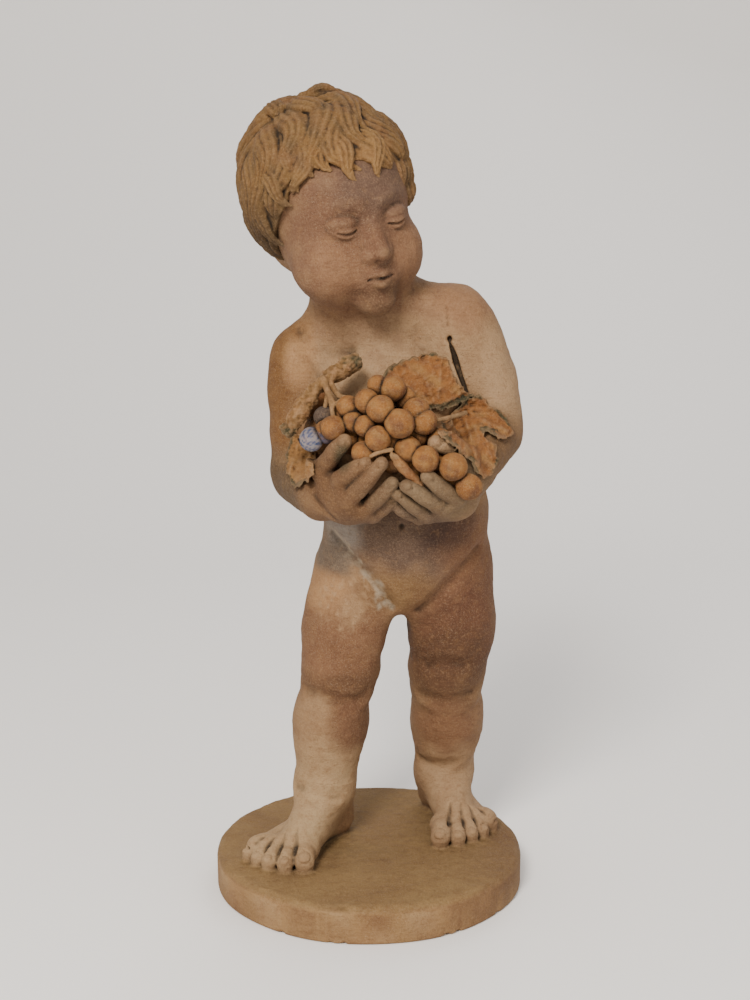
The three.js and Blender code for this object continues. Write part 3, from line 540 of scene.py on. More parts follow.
# The close layer under the locks, ending a little short of their tips
def hairCap():
    middle, low = inHead(scalp["centre"]), max(scalp["radii"]) + 6
    radii = vec(*scalp["radii"]) + 2

    def distance(x, y, z):
        p = (x - middle[0], y - middle[1], z - middle[2])
        q = [dot(p, headTurn[:, i]) for i in range(3)]
        out = length(*q) + 1e-6
        down = np.arccos(np.clip(dot(q, crown) / out, -1, 1))
        limit = np.radians(hairReach(np.arctan2(dot(q, crownSide), dot(q, crownFront))) - 6)
        near = length(*(v / r for v, r in zip(q, radii)))
        return np.maximum((near - 1) * out, (down - limit) * 60)

    return lump(middle - low, middle + low, 0, distance)


def hairLumps():
    chance = np.random.default_rng(11)
    made = [hairCap()]
    for ring, (start, sweep, count, width) in enumerate(reversed(lockRings)):
        for i in range(count):
            uneven = chance.uniform(-1, 1, 4)
            around = math.radians(360 * (i + 0.5 * (ring % 2) + 0.25 * uneven[0]) / count - 180)
            down = math.radians(start + 6 * uneven[1])
            room = hairReach(around) - math.degrees(down) + 2 * uneven[3]
            if room > combing["shortest"]:
                path = combed(down, around, min(sweep, room))
                made += lock(path, width * (1 + 0.2 * uneven[3]), uneven[0] * 3, 1.9 + 2.4 * uneven[2])
    for start, end, width, raised in ownLocks.values():
        made += lock(straight(start, end), width, 0, raised)
    return made


# The bunch: each grape's middle and radius, and the clay that fills it from behind
grapes = (
    (10, -106, 411, 11.3), (25, -112, 400, 12.1), (39, -96, 408, 11.4), (45, -100, 400, 10.8),
    (20, -92, 426, 10.8), (-1, -98, 416, 10.2), (-16, -92, 411, 9.8), (-12, -98, 400, 9),
    (-3, -104, 397, 9), (8, -112, 388, 10.6), (-28, -100, 395, 10.2), (-34, -92, 391, 9.8),
    (-46, -92, 385, 10), (-36, -82, 402, 8.6), (-4, -106, 376, 9.6), (32, -108, 379, 10.8),
    (46, -116, 372, 11.1), (68, -116, 366, 11.5), (81, -112, 349, 10.9), (58, -96, 384, 10),
    (-22, -78, 400, 9.6), (22, -98, 388, 10.6), (62, -98, 352, 10), (30, -84, 418, 9),
    (2, -92, 384, 10), (-14, -84, 386, 9), (40, -92, 388, 10), (56, -94, 366, 10.4),
    (8, -88, 428, 8.6), (36, -92, 362, 9.6), (20, -94, 366, 9.6), (-2, -88, 364, 9),
)
bunchCore = (((-36, -56, 386), 18), ((10, -58, 394), 29), ((54, -62, 372), 22))


# The cane lies in two cut lengths with a knot between them; its stalks run down to the grapes
cane = {
    "lengths": ((((-66, -76, 390), 6.6), ((-60, -78, 399), 7.4), ((-53, -78, 410), 7.6),
                 ((-42, -75, 425), 6.2)),
                (((-33, -70, 433), 6), ((-24, -67, 437), 7.4), ((-18, -64, 441), 7.5), ((-12, -60, 444), 8))),
    "stalks": ((((-36, -77, 430), 3), ((-31, -86, 419), 2.4), ((-27, -90, 413), 2.2), ((-21, -91, 417), 2)),
               (((-31, -86, 419), 2.2), ((-29, -92, 408), 2), ((-28, -97, 402), 2)),
               (((-31, -74, 429), 2.6), ((-24, -82, 419), 2.3), ((-13, -90, 418), 2.2)),
               (((-38, -74, 430), 2.4), ((-33, -80, 424), 2.2), ((-35, -84, 410), 1.8)),
               (((2, -114, 374), 1.7), ((9, -117, 378), 2), ((19, -117, 380), 1.7)),
               (((56, -96, 401), 1.8), ((67, -86, 402), 1.9), ((80, -72, 404), 2))),
    "sliver": (((19, -117, 376), 2), ((24, -116, 370), 3.8), ((31, -115, 362), 4.4), ((38, -113, 355), 3),
               ((43, -113, 350), 1.2)),
}


def caneLumps():
    made = [limb((-52, -66, 405), (-44, -40, 408), 7, 12, 6)]
    for i, stops in enumerate(cane["lengths"]):
        made += [rough(rough(tube(stops, 1.2), 4, 0.7, 20 + i), 11, 0.9, 30 + i)]
        (end, radius), (before, _) = stops[-i], stops[1 - 3 * i]
        outward = direction(vec(*end) - vec(*before))
        made += [cut(egg(vec(*end) + outward * radius * 1.25, vec(1, 1, 1) * radius * 0.95, 0.5))]
    made += [rough(egg((-37, -75, 430), (5.4, 5, 4.6), 2), 5, 0.8, 24)]
    made += [egg((-57, -84, 405), (2.4, 2, 2.4), 1), egg((-48, -84, 416), (2.6, 2, 2), 1)]
    made += [tube(stops, 1.2, 3) for stops in cane["stalks"]]
    sliver = [(vec(*p) + vec(1.6, 2.2, -1.2), r * 0.9) for p, r in cane["sliver"]]
    return made + [rough(tube(stops, 0.8), 7, 0.4, 27) for stops in (cane["sliver"], sliver)]


# Leaves: outlines as seen from the front, in x and z, and the veins that run out from each stalk
leaf = {"thick": 3.2, "curl": 2.6, "veins": 0.9}
leaves = {
    "chest": {"outline": ((6, 425), (17, 438), (31, 444), (45, 448), (58, 449), (68, 444), (72, 430),
                          (80, 420), (88, 413), (76, 405), (62, 402), (50, 404), (30, 408), (12, 412)),
              "stalk": (58, 404), "tips": ((17, 436), (40, 447), (62, 446), (80, 417))},
    "forearm": {"outline": ((81, 411), (94, 413), (109, 403), (120, 391), (123, 381), (116, 377), (97, 387),
                            (97, 384), (105, 376), (108, 364), (101, 354), (95, 350), (86, 360), (82, 368),
                            (70, 379), (56, 393), (68, 395)),
                "stalk": (80, 402), "tips": ((108, 402), (119, 384), (103, 366), (92, 355), (62, 391))},
    "wrist": {"outline": ((-66, 381), (-57, 379), (-53, 368), (-44, 365), (-44, 356), (-51, 348), (-62, 341),
                          (-69, 349), (-71, 360)),
              "stalk": (-58, 379), "tips": ((-66, 350), (-56, 346), (-47, 360))},
}


def segmentDistance(x, z, a, b):
    ex, ez = b[0] - a[0], b[1] - a[1]
    t = np.clip(((x - a[0]) * ex + (z - a[1]) * ez) / (ex * ex + ez * ez), 0, 1)
    return np.sqrt((x - a[0] - t * ex) ** 2 + (z - a[1] - t * ez) ** 2)


# Signed distance in the plane to a closed outline, negative inside
def outlineDistance(points, x, z):
    x, z = np.broadcast_arrays(x, z)
    inside = np.zeros(x.shape, bool)
    nearest = np.full(x.shape, 1e9, np.float32)
    for a, b in zip(points, points[1:] + points[:1]):
        nearest = np.minimum(nearest, segmentDistance(x, z, a, b))
        run, rise = b[0] - a[0], b[1] - a[1]
        crosses = (a[1] > z) != (b[1] > z)
        inside ^= crosses & (x < a[0] + (z - a[1]) * run / (rise if rise else 1e-9))
    return np.where(inside, -1, 1) * nearest


# Smooth unevenness from a few crossed waves, between about -1 and 1
def waves(points, size, seed, count=7):
    chance = np.random.default_rng(seed)
    total = 0
    for _ in range(count):
        way = chance.normal(size=3)
        way *= 2 * math.pi / (size * np.linalg.norm(way) * chance.uniform(0.75, 1.35))
        total = total + np.sin(dot(points, way) + chance.uniform(0, 6.3))
    return total / math.sqrt(count) * 0.8


# A lump with an uneven skin
def rough(piece, size, depth, seed):
    even = piece["distance"]
    return {**piece, "distance": lambda x, y, z: even(x, y, z) + depth * waves((x, y, z), size, seed)}


base = {"radius": 140.0, "edge": 7.0, "back": 134.0, "uneven": 0.9}


def baseLump():
    thick = drawn["baseThickness"]

    def distance(x, y, z):
        around = np.arctan2(y, x)
        radius = base["radius"] - base["uneven"] * (1 + np.sin(3 * around + 1) * np.cos(5 * around))
        edge = np.where(z > -thick / 2, base["edge"], 2.5)
        sideways = np.sqrt(x * x + y * y) - (radius - edge)
        upright = np.abs(z + thick / 2) - (thick / 2 - edge)
        disc = np.minimum(np.maximum(sideways, upright), 0)
        disc = disc + np.sqrt(np.maximum(sideways, 0) ** 2 + np.maximum(upright, 0) ** 2) - edge
        return np.maximum(disc, y - base["back"])

    size = base["radius"] + 1
    return lump(vec(-size, -size, -thick), vec(size, size, 0), 5, distance)


# Folds in the flesh, as lines in x and z seen from the front: how wide, how deep, and how soft the edge
folds = {
    "right knee": (((-57, 147), (-44, 145), (-28, 140), (-13, 138), (-3, 141)), 7, 2.4, 10),
    "left knee": (((46, 135), (56, 131), (70, 128), (85, 130), (95, 136)), 7, 2.6, 10),
    "over left knee": (((52, 166), (66, 170), (84, 167)), 6, 1.2, 9),
    "right ankle": (((-67, 54), (-57, 56), (-42, 52), (-27, 49)), 6, 1.3, 8),
    "left ankle": (((46, 61), (57, 58), (68, 58), (78, 61)), 6, 1.3, 8),
    "right groin": (((-34, 289), (-20, 276), (-3, 258), (12, 240), (20, 226)), 5, 2.6, 9),
    "left groin": (((97, 278), (86, 265), (72, 249), (58, 234), (44, 222)), 5, 2.3, 9),
    "right armpit": (((-62, 470), (-56, 456), (-48, 441), (-43, 430)), 4, 1.9, 7),
    "neck": (((-59, 468), (-48, 458), (-33, 451), (-16, 449)), 5, 1, 8),
    "right wrist": (((-45, 336), (-38, 325), (-28, 318)), 3, 1.2, 5),
}
# The split at the left armpit: a crack down to a hole, and a slot on from it
slit = {"crack": ((65, 492), (66, 482), (67, 470)), "hole": (69, 461),
        "slot": ((69, 458), (73, 447), (77, 434), (81, 423), (85, 412)), "width": 2.3, "depth": 10}
navel = (28, 305)


def fold(clay, line, wide, deep, soft):
    stops = []
    for i, (x, z) in enumerate(line):
        taper = 0.5 + 0.5 * math.sin(math.pi * i / (len(line) - 1))
        stops.append(((x, clay.front(x, z) + (deep - wide) * taper, z), wide * taper))
    return cut(tube(stops, soft, 3))


# The furrows that run up the foot from between the toes
def toeFurrows(clay, side):
    made = []
    five = toes(side)
    for a, b in zip(five, five[1:]):
        tip, root = mix(a["tip"], b["tip"], 0.5), mix(a["root"], b["root"], 0.5)
        stops, low = [], a["radius"] + b["radius"]
        for t, wide in ((0.2, 2), (0.5, 2.4), (0.8, 2.5), (1.1, 2), (1.4, 1)):
            x, y, _ = mix(tip, root, t)
            stops.append(((x, y, max(low - 3 + 5 * t, clay.top(x, y, 60) + wide * 0.1)), wide))
        made += [cut(tube(stops, 2, 3))]
    return made


# A plate on the tip of a toe or finger, sunk in a groove
def nail(tip, forward, outward, radius):
    along = direction(vec(*forward))
    normal = direction(vec(*outward) - along * float(vec(*outward) @ along))
    turn = np.column_stack([np.cross(along, normal), along, normal])
    centre = vec(*tip) + normal * radius * 0.78 + along * radius * 0.12
    size = vec(0.56, 0.62, 0.3) * radius
    groove = cut(egg(centre + normal * 0.1 * radius, size * 1.22, 0.5, turn))
    return [groove, egg(centre - normal * 0.1, size, 0.2, turn)]


def nails(side):
    made = []
    for toe in toes(side):
        forward = toe["tip"] - toe["root"]
        forward[2] = -0.55 * np.linalg.norm(forward[:2])
        made += nail(toe["tip"], forward, (forward[0] * 0.02, forward[1] * 0.02, 1), toe["radius"])
    for (_, bend, tip), r in zip(hands[side]["fingers"], fingerRadii):
        made += nail(tip, vec(*tip) - vec(*bend), (0, -1, 0.35), r * 0.84)
    return made


# Small chips knocked off the upper and lower edges of the base
chips = {"count": 12, "arc": (-2.9, -0.2), "size": (2.5, 5.5), "low": -32.5, "high": -1.5}


def chipLumps():
    chance = np.random.default_rng(5)
    made = []
    for _ in range(chips["count"]):
        around, low = chance.uniform(*chips["arc"]), chance.random() < 0.6
        size = chance.uniform(*chips["size"])
        place = (base["radius"] * math.cos(around), base["radius"] * math.sin(around),
                 chips["low"] if low else chips["high"])
        made += [rough(cut(egg(place, (size, size, size * 0.5), 1)), 5, 0.8, 70)]
    return made


def marks(clay):
    made = [fold(clay, *row) for row in folds.values()]
    made += [cut(egg((navel[0], clay.front(*navel), navel[1]), (1.9, 2.4, 2.4), 2))]
    x, z = slit["hole"]
    made += [fold(clay, slit["crack"], 0.9, 1.5, 1), cut(egg((x, clay.front(x, z), z), (3, 6, 3.6), 1))]
    made += [fold(clay, slit["slot"], slit["width"], deep, 0.6) for deep in np.arange(2, slit["depth"], 1.4)]
    return made + chipLumps() + toeFurrows(clay, right) + toeFurrows(clay, left) + nails(right) + nails(left)


def bodyLumps():
    made = trunk() + leg(right) + leg(left) + betweenLegs() + foot(right) + foot(left)
    return made + arm(right) + arm(left) + skull() + faceLumps() + hand(right) + hand(left)


def added(name, data):
    piece = bpy.data.objects.new(name, data)
    bpy.context.scene.collection.objects.link(piece)
    return piece


# The surface of a clay block as an object, brought down to a number of triangles
def meshOf(clay, name, triangles, spared=None):
    band = 3 * clay.step
    grid = openvdb.FloatGrid(band)
    grid.copyFromArray(np.clip(clay.field, -band, band), tolerance=1e-4)
    grid.transform = openvdb.createLinearTransform(voxelSize=1.0)
    points, tris, quads = grid.convertToPolygons(isovalue=0.0, adaptivity=0.0)
    points = points * clay.step + vec(*[axis[0] for axis in clay.axes])
    faces = np.concatenate([quads[:, [0, 1, 2]], quads[:, [0, 2, 3]]]).astype(np.int32)
    if len(tris):
        faces = np.concatenate([faces, tris])
    faces = faces[:, ::-1] if signedVolume(points, faces) < 0 else faces
    piece = added(name, meshFrom(name, points, faces))
    fewer = piece.modifiers.new("fewer", "DECIMATE")
    fewer.ratio = min(1, triangles / len(faces))
    if spared:
        away = np.linalg.norm(points - spared["centre"], axis=1) > spared["reach"]
        piece.vertex_groups.new(name="thinned").add(np.flatnonzero(away).tolist(), 1.0, "REPLACE")
        fewer.vertex_group = "thinned"
    print(name, "meshed", len(faces), "triangles")
    return plain(piece)


def signedVolume(points, faces):
    a, b, c = (points[faces[:, i]] for i in range(3))
    return float((a * np.cross(b, c)).sum()) / 6


def meshFrom(name, points, faces):
    mesh = bpy.data.meshes.new(name)
    mesh.vertices.add(len(points))
    mesh.vertices.foreach_set("co", points.astype(np.float32).ravel())
    mesh.loops.add(len(faces) * 3)
    mesh.loops.foreach_set("vertex_index", faces.astype(np.int32).ravel())
    mesh.polygons.add(len(faces))
    mesh.polygons.foreach_set("loop_start", np.arange(0, len(faces) * 3, 3, dtype=np.int32))
    mesh.update(calc_edges=True)
    return mesh


# The evaluated mesh in place of the modifiers
def plain(piece):
    graph = bpy.context.evaluated_depsgraph_get()
    made = bpy.data.meshes.new_from_object(piece.evaluated_get(graph))
    made.name = piece.name
    piece.modifiers.clear()
    piece.data = made
    return piece


def readMesh(mesh):
    points = np.empty(len(mesh.vertices) * 3, np.float32)
    mesh.vertices.foreach_get("co", points)
    faces = np.empty(len(mesh.loops), np.int32)
    mesh.loops.foreach_get("vertex_index", faces)
    return points.reshape(-1, 3).astype(float), faces.reshape(-1, 3)


# Only the largest closed surface is kept: the hollows that lumps shut in go
def outerOnly(points, faces):
    label = np.arange(len(points))
    while True:
        low = label[faces].min(axis=1)
        new = label.copy()
        for i in range(3):
            np.minimum.at(new, faces[:, i], low)
        new = new[new]
        if (new == label).all():
            break
        label = new
    names, counts = np.unique(label[faces[:, 0]], return_counts=True)
    faces = faces[label[faces[:, 0]] == names[counts.argmax()]]
    used = np.unique(faces)
    order = np.zeros(len(points), np.int64)
    order[used] = np.arange(len(used))
    return points[used], order[faces]


def normalsOf(points, faces):
    a, b, c = (points[faces[:, i]] for i in range(3))
    normals = np.zeros_like(points)
    for i in range(3):
        np.add.at(normals, faces[:, i], np.cross(b - a, c - a))
    return normals / np.maximum(np.linalg.norm(normals, axis=1, keepdims=True), 1e-12)


def attribute(mesh, name, values):
    layer = mesh.attributes.new(name, "FLOAT", "POINT")
    layer.data.foreach_set("value", np.clip(values, 0, 1).astype(np.float32))


def toFrame(points):
    return (points + vec(0, 0, drawn["baseThickness"])) * unit


# Colours as they look in daylight, taken down by it to the clay's own
def colour(code):
    channels = vec(*[int(code[i:i + 2], 16) / 255 for i in (0, 2, 4)])
    return np.where(channels <= 0.04045, channels / 12.92, ((channels + 0.055) / 1.055) ** 2.4)


clayColours = {
    "buff": "a07f5f", "sand": "b89978", "pale": "b0906e", "worn": "b58d66", "ruddy": "9e7658",
    "orange": "80592f", "rust": "724c38", "brown": "6f5039", "umber": "513824", "plum": "64524a",
    "wine": "48312c", "bloom": "a39b95", "dusky": "83604b", "olive": "765a3e", "mud": "7a6852",
    "palm": "735339", "thigh": "855f46", "baseTopShaded": "987b52", "baseSideLit": "b08c62", "chalk": "b9ab98",
    "ochre": "82633c", "shade": "574631", "leaf": "9b6738", "lit": "a9804f", "grape": "a3703c",
    "bone": "d0b48e", "ashen": "75695f",
    "moss": "3a3c28", "char": "281f17", "blue": "4d5c86", "frost": "9a9dac", "slate": "4e4b4c",
}
daylight = vec(0.65, 0.625, 0.57)
clayColours = {name: daylight * colour(code) for name, code in clayColours.items()}


# A soft patch of colour: 1 within an ellipsoid and 0 outside it, with a ragged border
def patch(points, centre, radii, ragged=0.2, size=16, seed=1):
    reach = np.linalg.norm((points - vec(*centre)) / vec(*radii), axis=1)
    reach = reach + ragged * waves(points.T, size, seed)
    return np.clip((1.35 - reach) / 0.7, 0, 1)


# Uneven blotches from 0 to 1
def blotches(points, size, seed, gain=1, level=0):
    return np.clip(gain * waves(points.T, size, seed) + level, 0, 1)


def washed(tone, weight, name):
    return tone + np.clip(weight, 0, 1)[:, None] * (clayColours[name] - tone)


def patched(tone, points, rows, ragged, size, seed):
    for i, (centre, radii, name, strength) in enumerate(rows):
        tone = washed(tone, strength * patch(points, centre, radii, ragged, size, seed + i), name)
    return tone


bodyPatches = (
    # The first row paints the chest paler, partly its own colour and partly painted light
    ((18, -40, 440), (64, 60, 46), "sand", 1), ((50, -20, 470), (30, 50, 20), "pale", 0.7),
    ((80, 0, 490), (34, 70, 20), "ruddy", 0.8), ((116, -10, 432), (28, 50, 42), "sand", 0.8),
    ((108, -10, 366), (36, 70, 28), "olive", 0.8), ((-84, 0, 460), (34, 60, 30), "orange", 0.75),
    ((-88, 0, 406), (32, 60, 56), "orange", 0.9), ((-58, -24, 446), (13, 24, 26), "worn", 0.95),
    ((-68, -14, 332), (44, 60, 30), "shade", 0.8), ((-20, -95, 346), (46, 50, 40), "palm", 0.9),
    ((52, -95, 346), (50, 50, 36), "mud", 0.85), ((-20, -108, 374), (7, 14, 12), "moss", 0.8),
    ((54, -104, 384), (10, 12, 10), "sand", 0.9), ((28, -50, 298), (62, 60, 38), "plum", 0.85),
    ((70, -20, 300), (32, 50, 30), "wine", 0.8), ((-22, -20, 302), (20, 40, 28), "bloom", 0.85),
    ((-38, -20, 268), (26, 40, 15), "ashen", 0.85), ((62, -20, 262), (20, 40, 22), "plum", 0.55),
    ((94, -10, 258), (34, 60, 44), "thigh", 0.9), ((30, -34, 240), (34, 34, 20), "ochre", 0.6),
    ((-24, 0, 186), (50, 70, 54), "thigh", 0.85), ((-38, -12, 238), (24, 40, 16), "worn", 0.95),
    ((-13, -30, 226), (11, 20, 14), "pale", 0.85), ((76, 0, 194), (50, 70, 60), "rust", 0.9),
    ((-30, -20, 152), (44, 40, 15), "brown", 0.8), ((72, -4, 160), (44, 44, 50), "umber", 0.55),
    # Painted light and shade on the legs: the right calf paler on its outer side and darker on its inner
    # side, the left calf darker, and the right shin and both feet paler where they stand out into the light
    ((-50, -10, 116), (18, 40, 34), "pale", 0.85), ((-14, -10, 116), (20, 40, 30), "rust", 0.7),
    ((72, 10, 100), (36, 50, 28), "thigh", 0.8), ((-48, -20, 58), (44, 50, 38), "bone", 0.6),
    ((-72, -40, 16), (50, 50, 22), "bone", 0.55), ((82, 20, 34), (44, 60, 42), "sand", 0.9),
    ((-36, -12, 1), (8, 20, 6), "moss", 0.6), ((44, 14, 1), (8, 20, 6), "moss", 0.4),
)
facePatches = (
    ((0, -44, -12), (72, 60, 84), "dusky", 0.95), ((8, -60, 28), (40, 30, 26), "plum", 0.6),
    ((33, -58, -34), (24, 24, 22), "ruddy", 0.6), ((-33, -58, -34), (24, 24, 22), "ruddy", 0.6),
    # The last row darkens the chin, partly its own colour and partly painted shade
    ((0, -76, -20), (8, 9, 12), "rust", 0.5), ((0, -62, -66), (26, 20, 16), "umber", 0.5),
)
streak = ((-30, -20, 293), (-20, -30, 281), (-9, -34, 266), (6, -34, 247), (17, -26, 228))


def nearLine(points, line):
    nearest = np.full(len(points), 1e9)
    for a, b in zip(line, line[1:]):
        a, run = vec(*a), vec(*b) - vec(*a)
        t = np.clip((points - a) @ run / (run @ run), 0, 1)[:, None]
        nearest = np.minimum(nearest, np.linalg.norm(points - a - t * run, axis=1))
    return nearest


def paintBody(points):
    tone = np.tile(clayColours["buff"], (len(points), 1))
    tone = patched(tone, points, bodyPatches, 0.16, 30, 0)
    tone = patched(tone, (points - head["centre"]) @ headTurn, facePatches, 0.15, 22, 50)
    ragged = nearLine(points, streak) + 3.5 * waves(points.T, 8, 81) + 2 * waves(points.T, 3.5, 82)
    tone = washed(tone, 0.8 * np.clip((6 - ragged) / 5, 0, 1), "chalk")
    flakes = patch(points, (-22, -24, 232), (26, 24, 26), 0.2, 12, 83) * blotches(points, 6, 84, 2.4, -0.9)
    tone = washed(tone, 0.9 * flakes, "sand")
    # The base's clay: its top painted darker and its side lighter, as painted shade on top and painted light
    # from the front on the side
    tone = washed(tone, 0.95 * np.clip((3 - points[:, 2]) / 3, 0, 1), "baseTopShaded")
    banded = 0.75 + 0.25 * waves(points.T * vec(1, 1, 4)[:, None], 50, 85)
    onTop, onSide = (np.clip((at - points[:, 2]) / 3, 0, 1) for at in (3, -3))
    tone = washed(tone, 0.4 * onTop * blotches(points, 45, 88), "olive")
    tone = washed(tone, banded * onSide, "baseSideLit")
    streaks = waves(points.T * vec(1, 1, 7)[:, None], 60, 87)
    tone = washed(tone, 0.45 * onSide * np.clip(1.5 * streaks, 0, 1), "rust")
    tone = washed(tone, 0.35 * onSide * np.clip(-1.5 * streaks - 0.3, 0, 1), "bone")
    # Painted shade: the base darker on its side towards +X
    return washed(tone, 0.5 * patch(points, (132, -30, -16), (34, 90, 30), 0.2, 20, 86), "brown")


def paintHair(points):
    tone = np.tile(clayColours["ochre"], (len(points), 1))
    tone = washed(tone, 0.4 * blotches(points, 30, 91), "thigh")
    tone = washed(tone, 0.6 * blotches(points, 20, 92), "shade")
    inside = (points - head["centre"]) @ headTurn
    tone = washed(tone, 0.45 * patch(inside, (-4, -66, 42), (46, 24, 26), 0.3, 18, 93), "lit")
    tone = washed(tone, 0.3 * blotches(points, 12, 94, 1.5), "orange")
    low = np.clip((595 - points[:, 2]) / 50, 0, 1) * np.clip((-20 - points[:, 0]) / 40, 0, 1)
    return washed(tone, 0.9 * low, "shade")


# Moss and crumbled clay along the leaves' rims, as lines in x and z
mossLines = (
    (((9, 428), (17, 438), (30, 446), (45, 450), (60, 450)), 2.4),
    (((50, 402), (60, 403), (71, 406), (80, 409)), 5), (((96, 388), (106, 384)), 2.4),
    (((78, 409), (88, 414), (96, 413)), 2.6), (((87, 352), (86, 362), (83, 370)), 3),
    (((-72, 350), (-70, 364), (-66, 380)), 2), (((-69, 346), (-60, 341), (-52, 346)), 3),
    (((108, 402), (121, 390)), 1.8), (((104, 352), (108, 364)), 2.4), (((62, 391), (72, 378)), 2.2),
)


def paintVine(points):
    tone = np.tile(clayColours["leaf"], (len(points), 1))
    tone = washed(tone, 0.7 * blotches(points, 15, 101), "lit")
    tone = washed(tone, 0.4 * blotches(points, 9, 102), "rust")
    tone = washed(tone, 0.7 * patch(points, (-58, -60, 360), (22, 60, 26), 0.2, 12, 106), "lit")
    x, z = points[:, 0], points[:, 2]
    rim = np.min([outlineDistance(shape["outline"], x, z) for shape in leaves.values()], axis=0)
    crumbled = np.clip((rim + 2.4 + 1.6 * waves(points.T, 6, 103)) / 2, 0, 1) * (rim < 6)
    tone = washed(tone, 0.6 * crumbled, "olive")
    ragged = 1.2 * waves(points.T, 5, 105)
    for line, width in mossLines:
        near = np.min([segmentDistance(x, z, a, b) for a, b in zip(line, line[1:])], axis=0)
        tone = washed(tone, 0.9 * np.clip((width + ragged - near) / 1.2 + 0.5, 0, 1), "moss")
    woody = [nearLine(points, [p for p, _ in stops]) for stops in cane["lengths"] + cane["stalks"]]
    wood = np.clip((9.5 - np.min(woody, axis=0)) / 2, 0, 1)
    tone = washed(tone, 0.85 * wood, "ochre")
    tone = washed(tone, 0.6 * wood * blotches(points, 7, 104, 1.6), "worn")
    for end in ((-66, -76, 388), (-10, -59, 445)):
        tone = washed(tone, 0.9 * patch(points, end, (11, 12, 8), 0.3, 5, 115), "moss")
    # Painted shade: the clay behind the grapes darkened towards char
    deep = sum(patch(points, centre, vec(1, 1, 1) * radius * 1.1, 0.1, 9, 5) for centre, radius in bunchCore)
    return washed(tone, 0.75 * deep, "char")


# Each grape: ruddy above, painted shade in brown below, and painted shade where its neighbours press on it
def paintGrapes(points):
    balls = np.array(grapes)
    gaps = np.linalg.norm(points[:, None] - balls[None, :, :3], axis=2) - balls[:, 3]
    order = np.argsort(np.abs(gaps), axis=1)
    own = order[:, 0]
    # Painted shade where a grape meets its neighbours
    pressedShade = (np.clip(1 - np.take_along_axis(gaps, order[:, 1:4], 1) / 3.2, 0, 1) ** 1.5).sum(axis=1)
    tone = np.tile(clayColours["grape"], (len(points), 1))
    tone = washed(tone, 0.7 * blotches(points, 13, 121), "rust")
    tone = washed(tone, 0.6 * blotches(points, 8, 125), "lit")
    # Painted shade: each grape darker brown towards its lower side
    down = (balls[own, 2] - points[:, 2]) / balls[own, 3]
    tone = washed(tone, 0.75 * np.clip(down + 0.5 * waves(points.T, 8, 122), 0, 1), "brown")
    beside, blue, grey = (own == i for i in (11, 12, 13))
    tone = washed(tone, blue * 0.8, "frost")
    bare = np.clip(0.2 + waves(points.T, 2.6, 123) + waves(points.T, 7, 126), 0, 1)
    tone = washed(tone, blue * bare, "blue")
    tinged = np.clip(down * 1.4 + 0.2 + 0.6 * waves(points.T, 6, 124), 0, 1)
    tone = washed(tone, beside * tinged * 0.8, "blue")
    return washed(tone, grey * 0.85, "slate"), pressedShade, np.zeros(len(points))


# For each piece: the block of clay it is cut from, its grid step, and how many triangles it keeps
blocks = {
    "body": ((-144, -144, -36), (144, 140, 668)), "vine": ((-82, -128, 330), (132, -10, 458)),
    "hair": (head["centre"] - 112, head["centre"] + 112),
}
faceKept = {"centre": inHead((0, -58, -16)), "reach": 54}  # no triangle is thinned here
detail = {"body": 1.3, "hair": 0.95, "vine": 0.95}
budget = {"body": 196000, "hair": 150000, "vine": 90000}


# How far a point lies in a hollow of the clay, and on a ridge of it, from the clay smoothed at two sizes.
# The hollow value darkens the clay as grime and painted shade, and its broad part as painted shade only.
def reliefOf(clay, points, fine, broad):
    near, far = (-clay.sample(clay.blurred(radius), points) / radius for radius in (fine, broad))
    return np.clip(2.8 * near - 0.12, 0, 1) + np.clip(0.9 * far, 0, 0.22), np.clip(-3 * near - 0.1, 0, 1)


def paint(mesh, tone, hollow, ridge):
    tone = washed(tone, 0.4 * ridge, "sand")
    layer = mesh.color_attributes.new("tone", "FLOAT_COLOR", "POINT")
    layer.data.foreach_set("color", np.column_stack([tone, np.ones(len(tone))]).astype(np.float32).ravel())
    attribute(mesh, "hollow", hollow)


# Small lumps and dents of hand-worked clay, along the normals, in millimetres
def weathered(points, faces):
    uneven = 0.5 * waves(points.T, 24, 61) + 0.2 * waves(points.T, 9, 62)
    uneven[points[:, 2] < 3 - drawn["baseThickness"]] = 0
    return points + normalsOf(points, faces) * uneven[:, None]


def makeBody():
    clay = Clay(*blocks["body"], detail["body"])
    clay.lay(bodyLumps())
    clay.lay([baseLump()])
    clay.lay(marks(clay))
    print("body laid")
    piece = meshOf(clay, "putto_body", budget["body"], faceKept)
    points, faces = outerOnly(*readMesh(piece.data))
    print("body has", len(faces), "triangles")
    tone, (hollow, ridge) = paintBody(points), reliefOf(clay, points, 3.5, 15)
    hollow *= np.clip(0.4 + (points[:, 2] - 1) / 6, 0.4, 1)
    piece.data = meshFrom("putto_body", toFrame(weathered(points, faces)), faces)
    paint(piece.data, tone, hollow, 0.5 * ridge)
    return piece


def makeHair():
    clay = Clay(*blocks["hair"], detail["hair"])
    clay.lay(hairLumps())
    print("hair laid")
    piece = meshOf(clay, "putto_hair", budget["hair"])
    points, faces = outerOnly(*readMesh(piece.data))
    print("hair has", len(faces), "triangles")
    piece.data = meshFrom("putto_hair", toFrame(points), faces)
    hollow, ridge = reliefOf(clay, points, 3, 7)
    paint(piece.data, paintHair(points), hollow, 0.5 * ridge)
    return piece


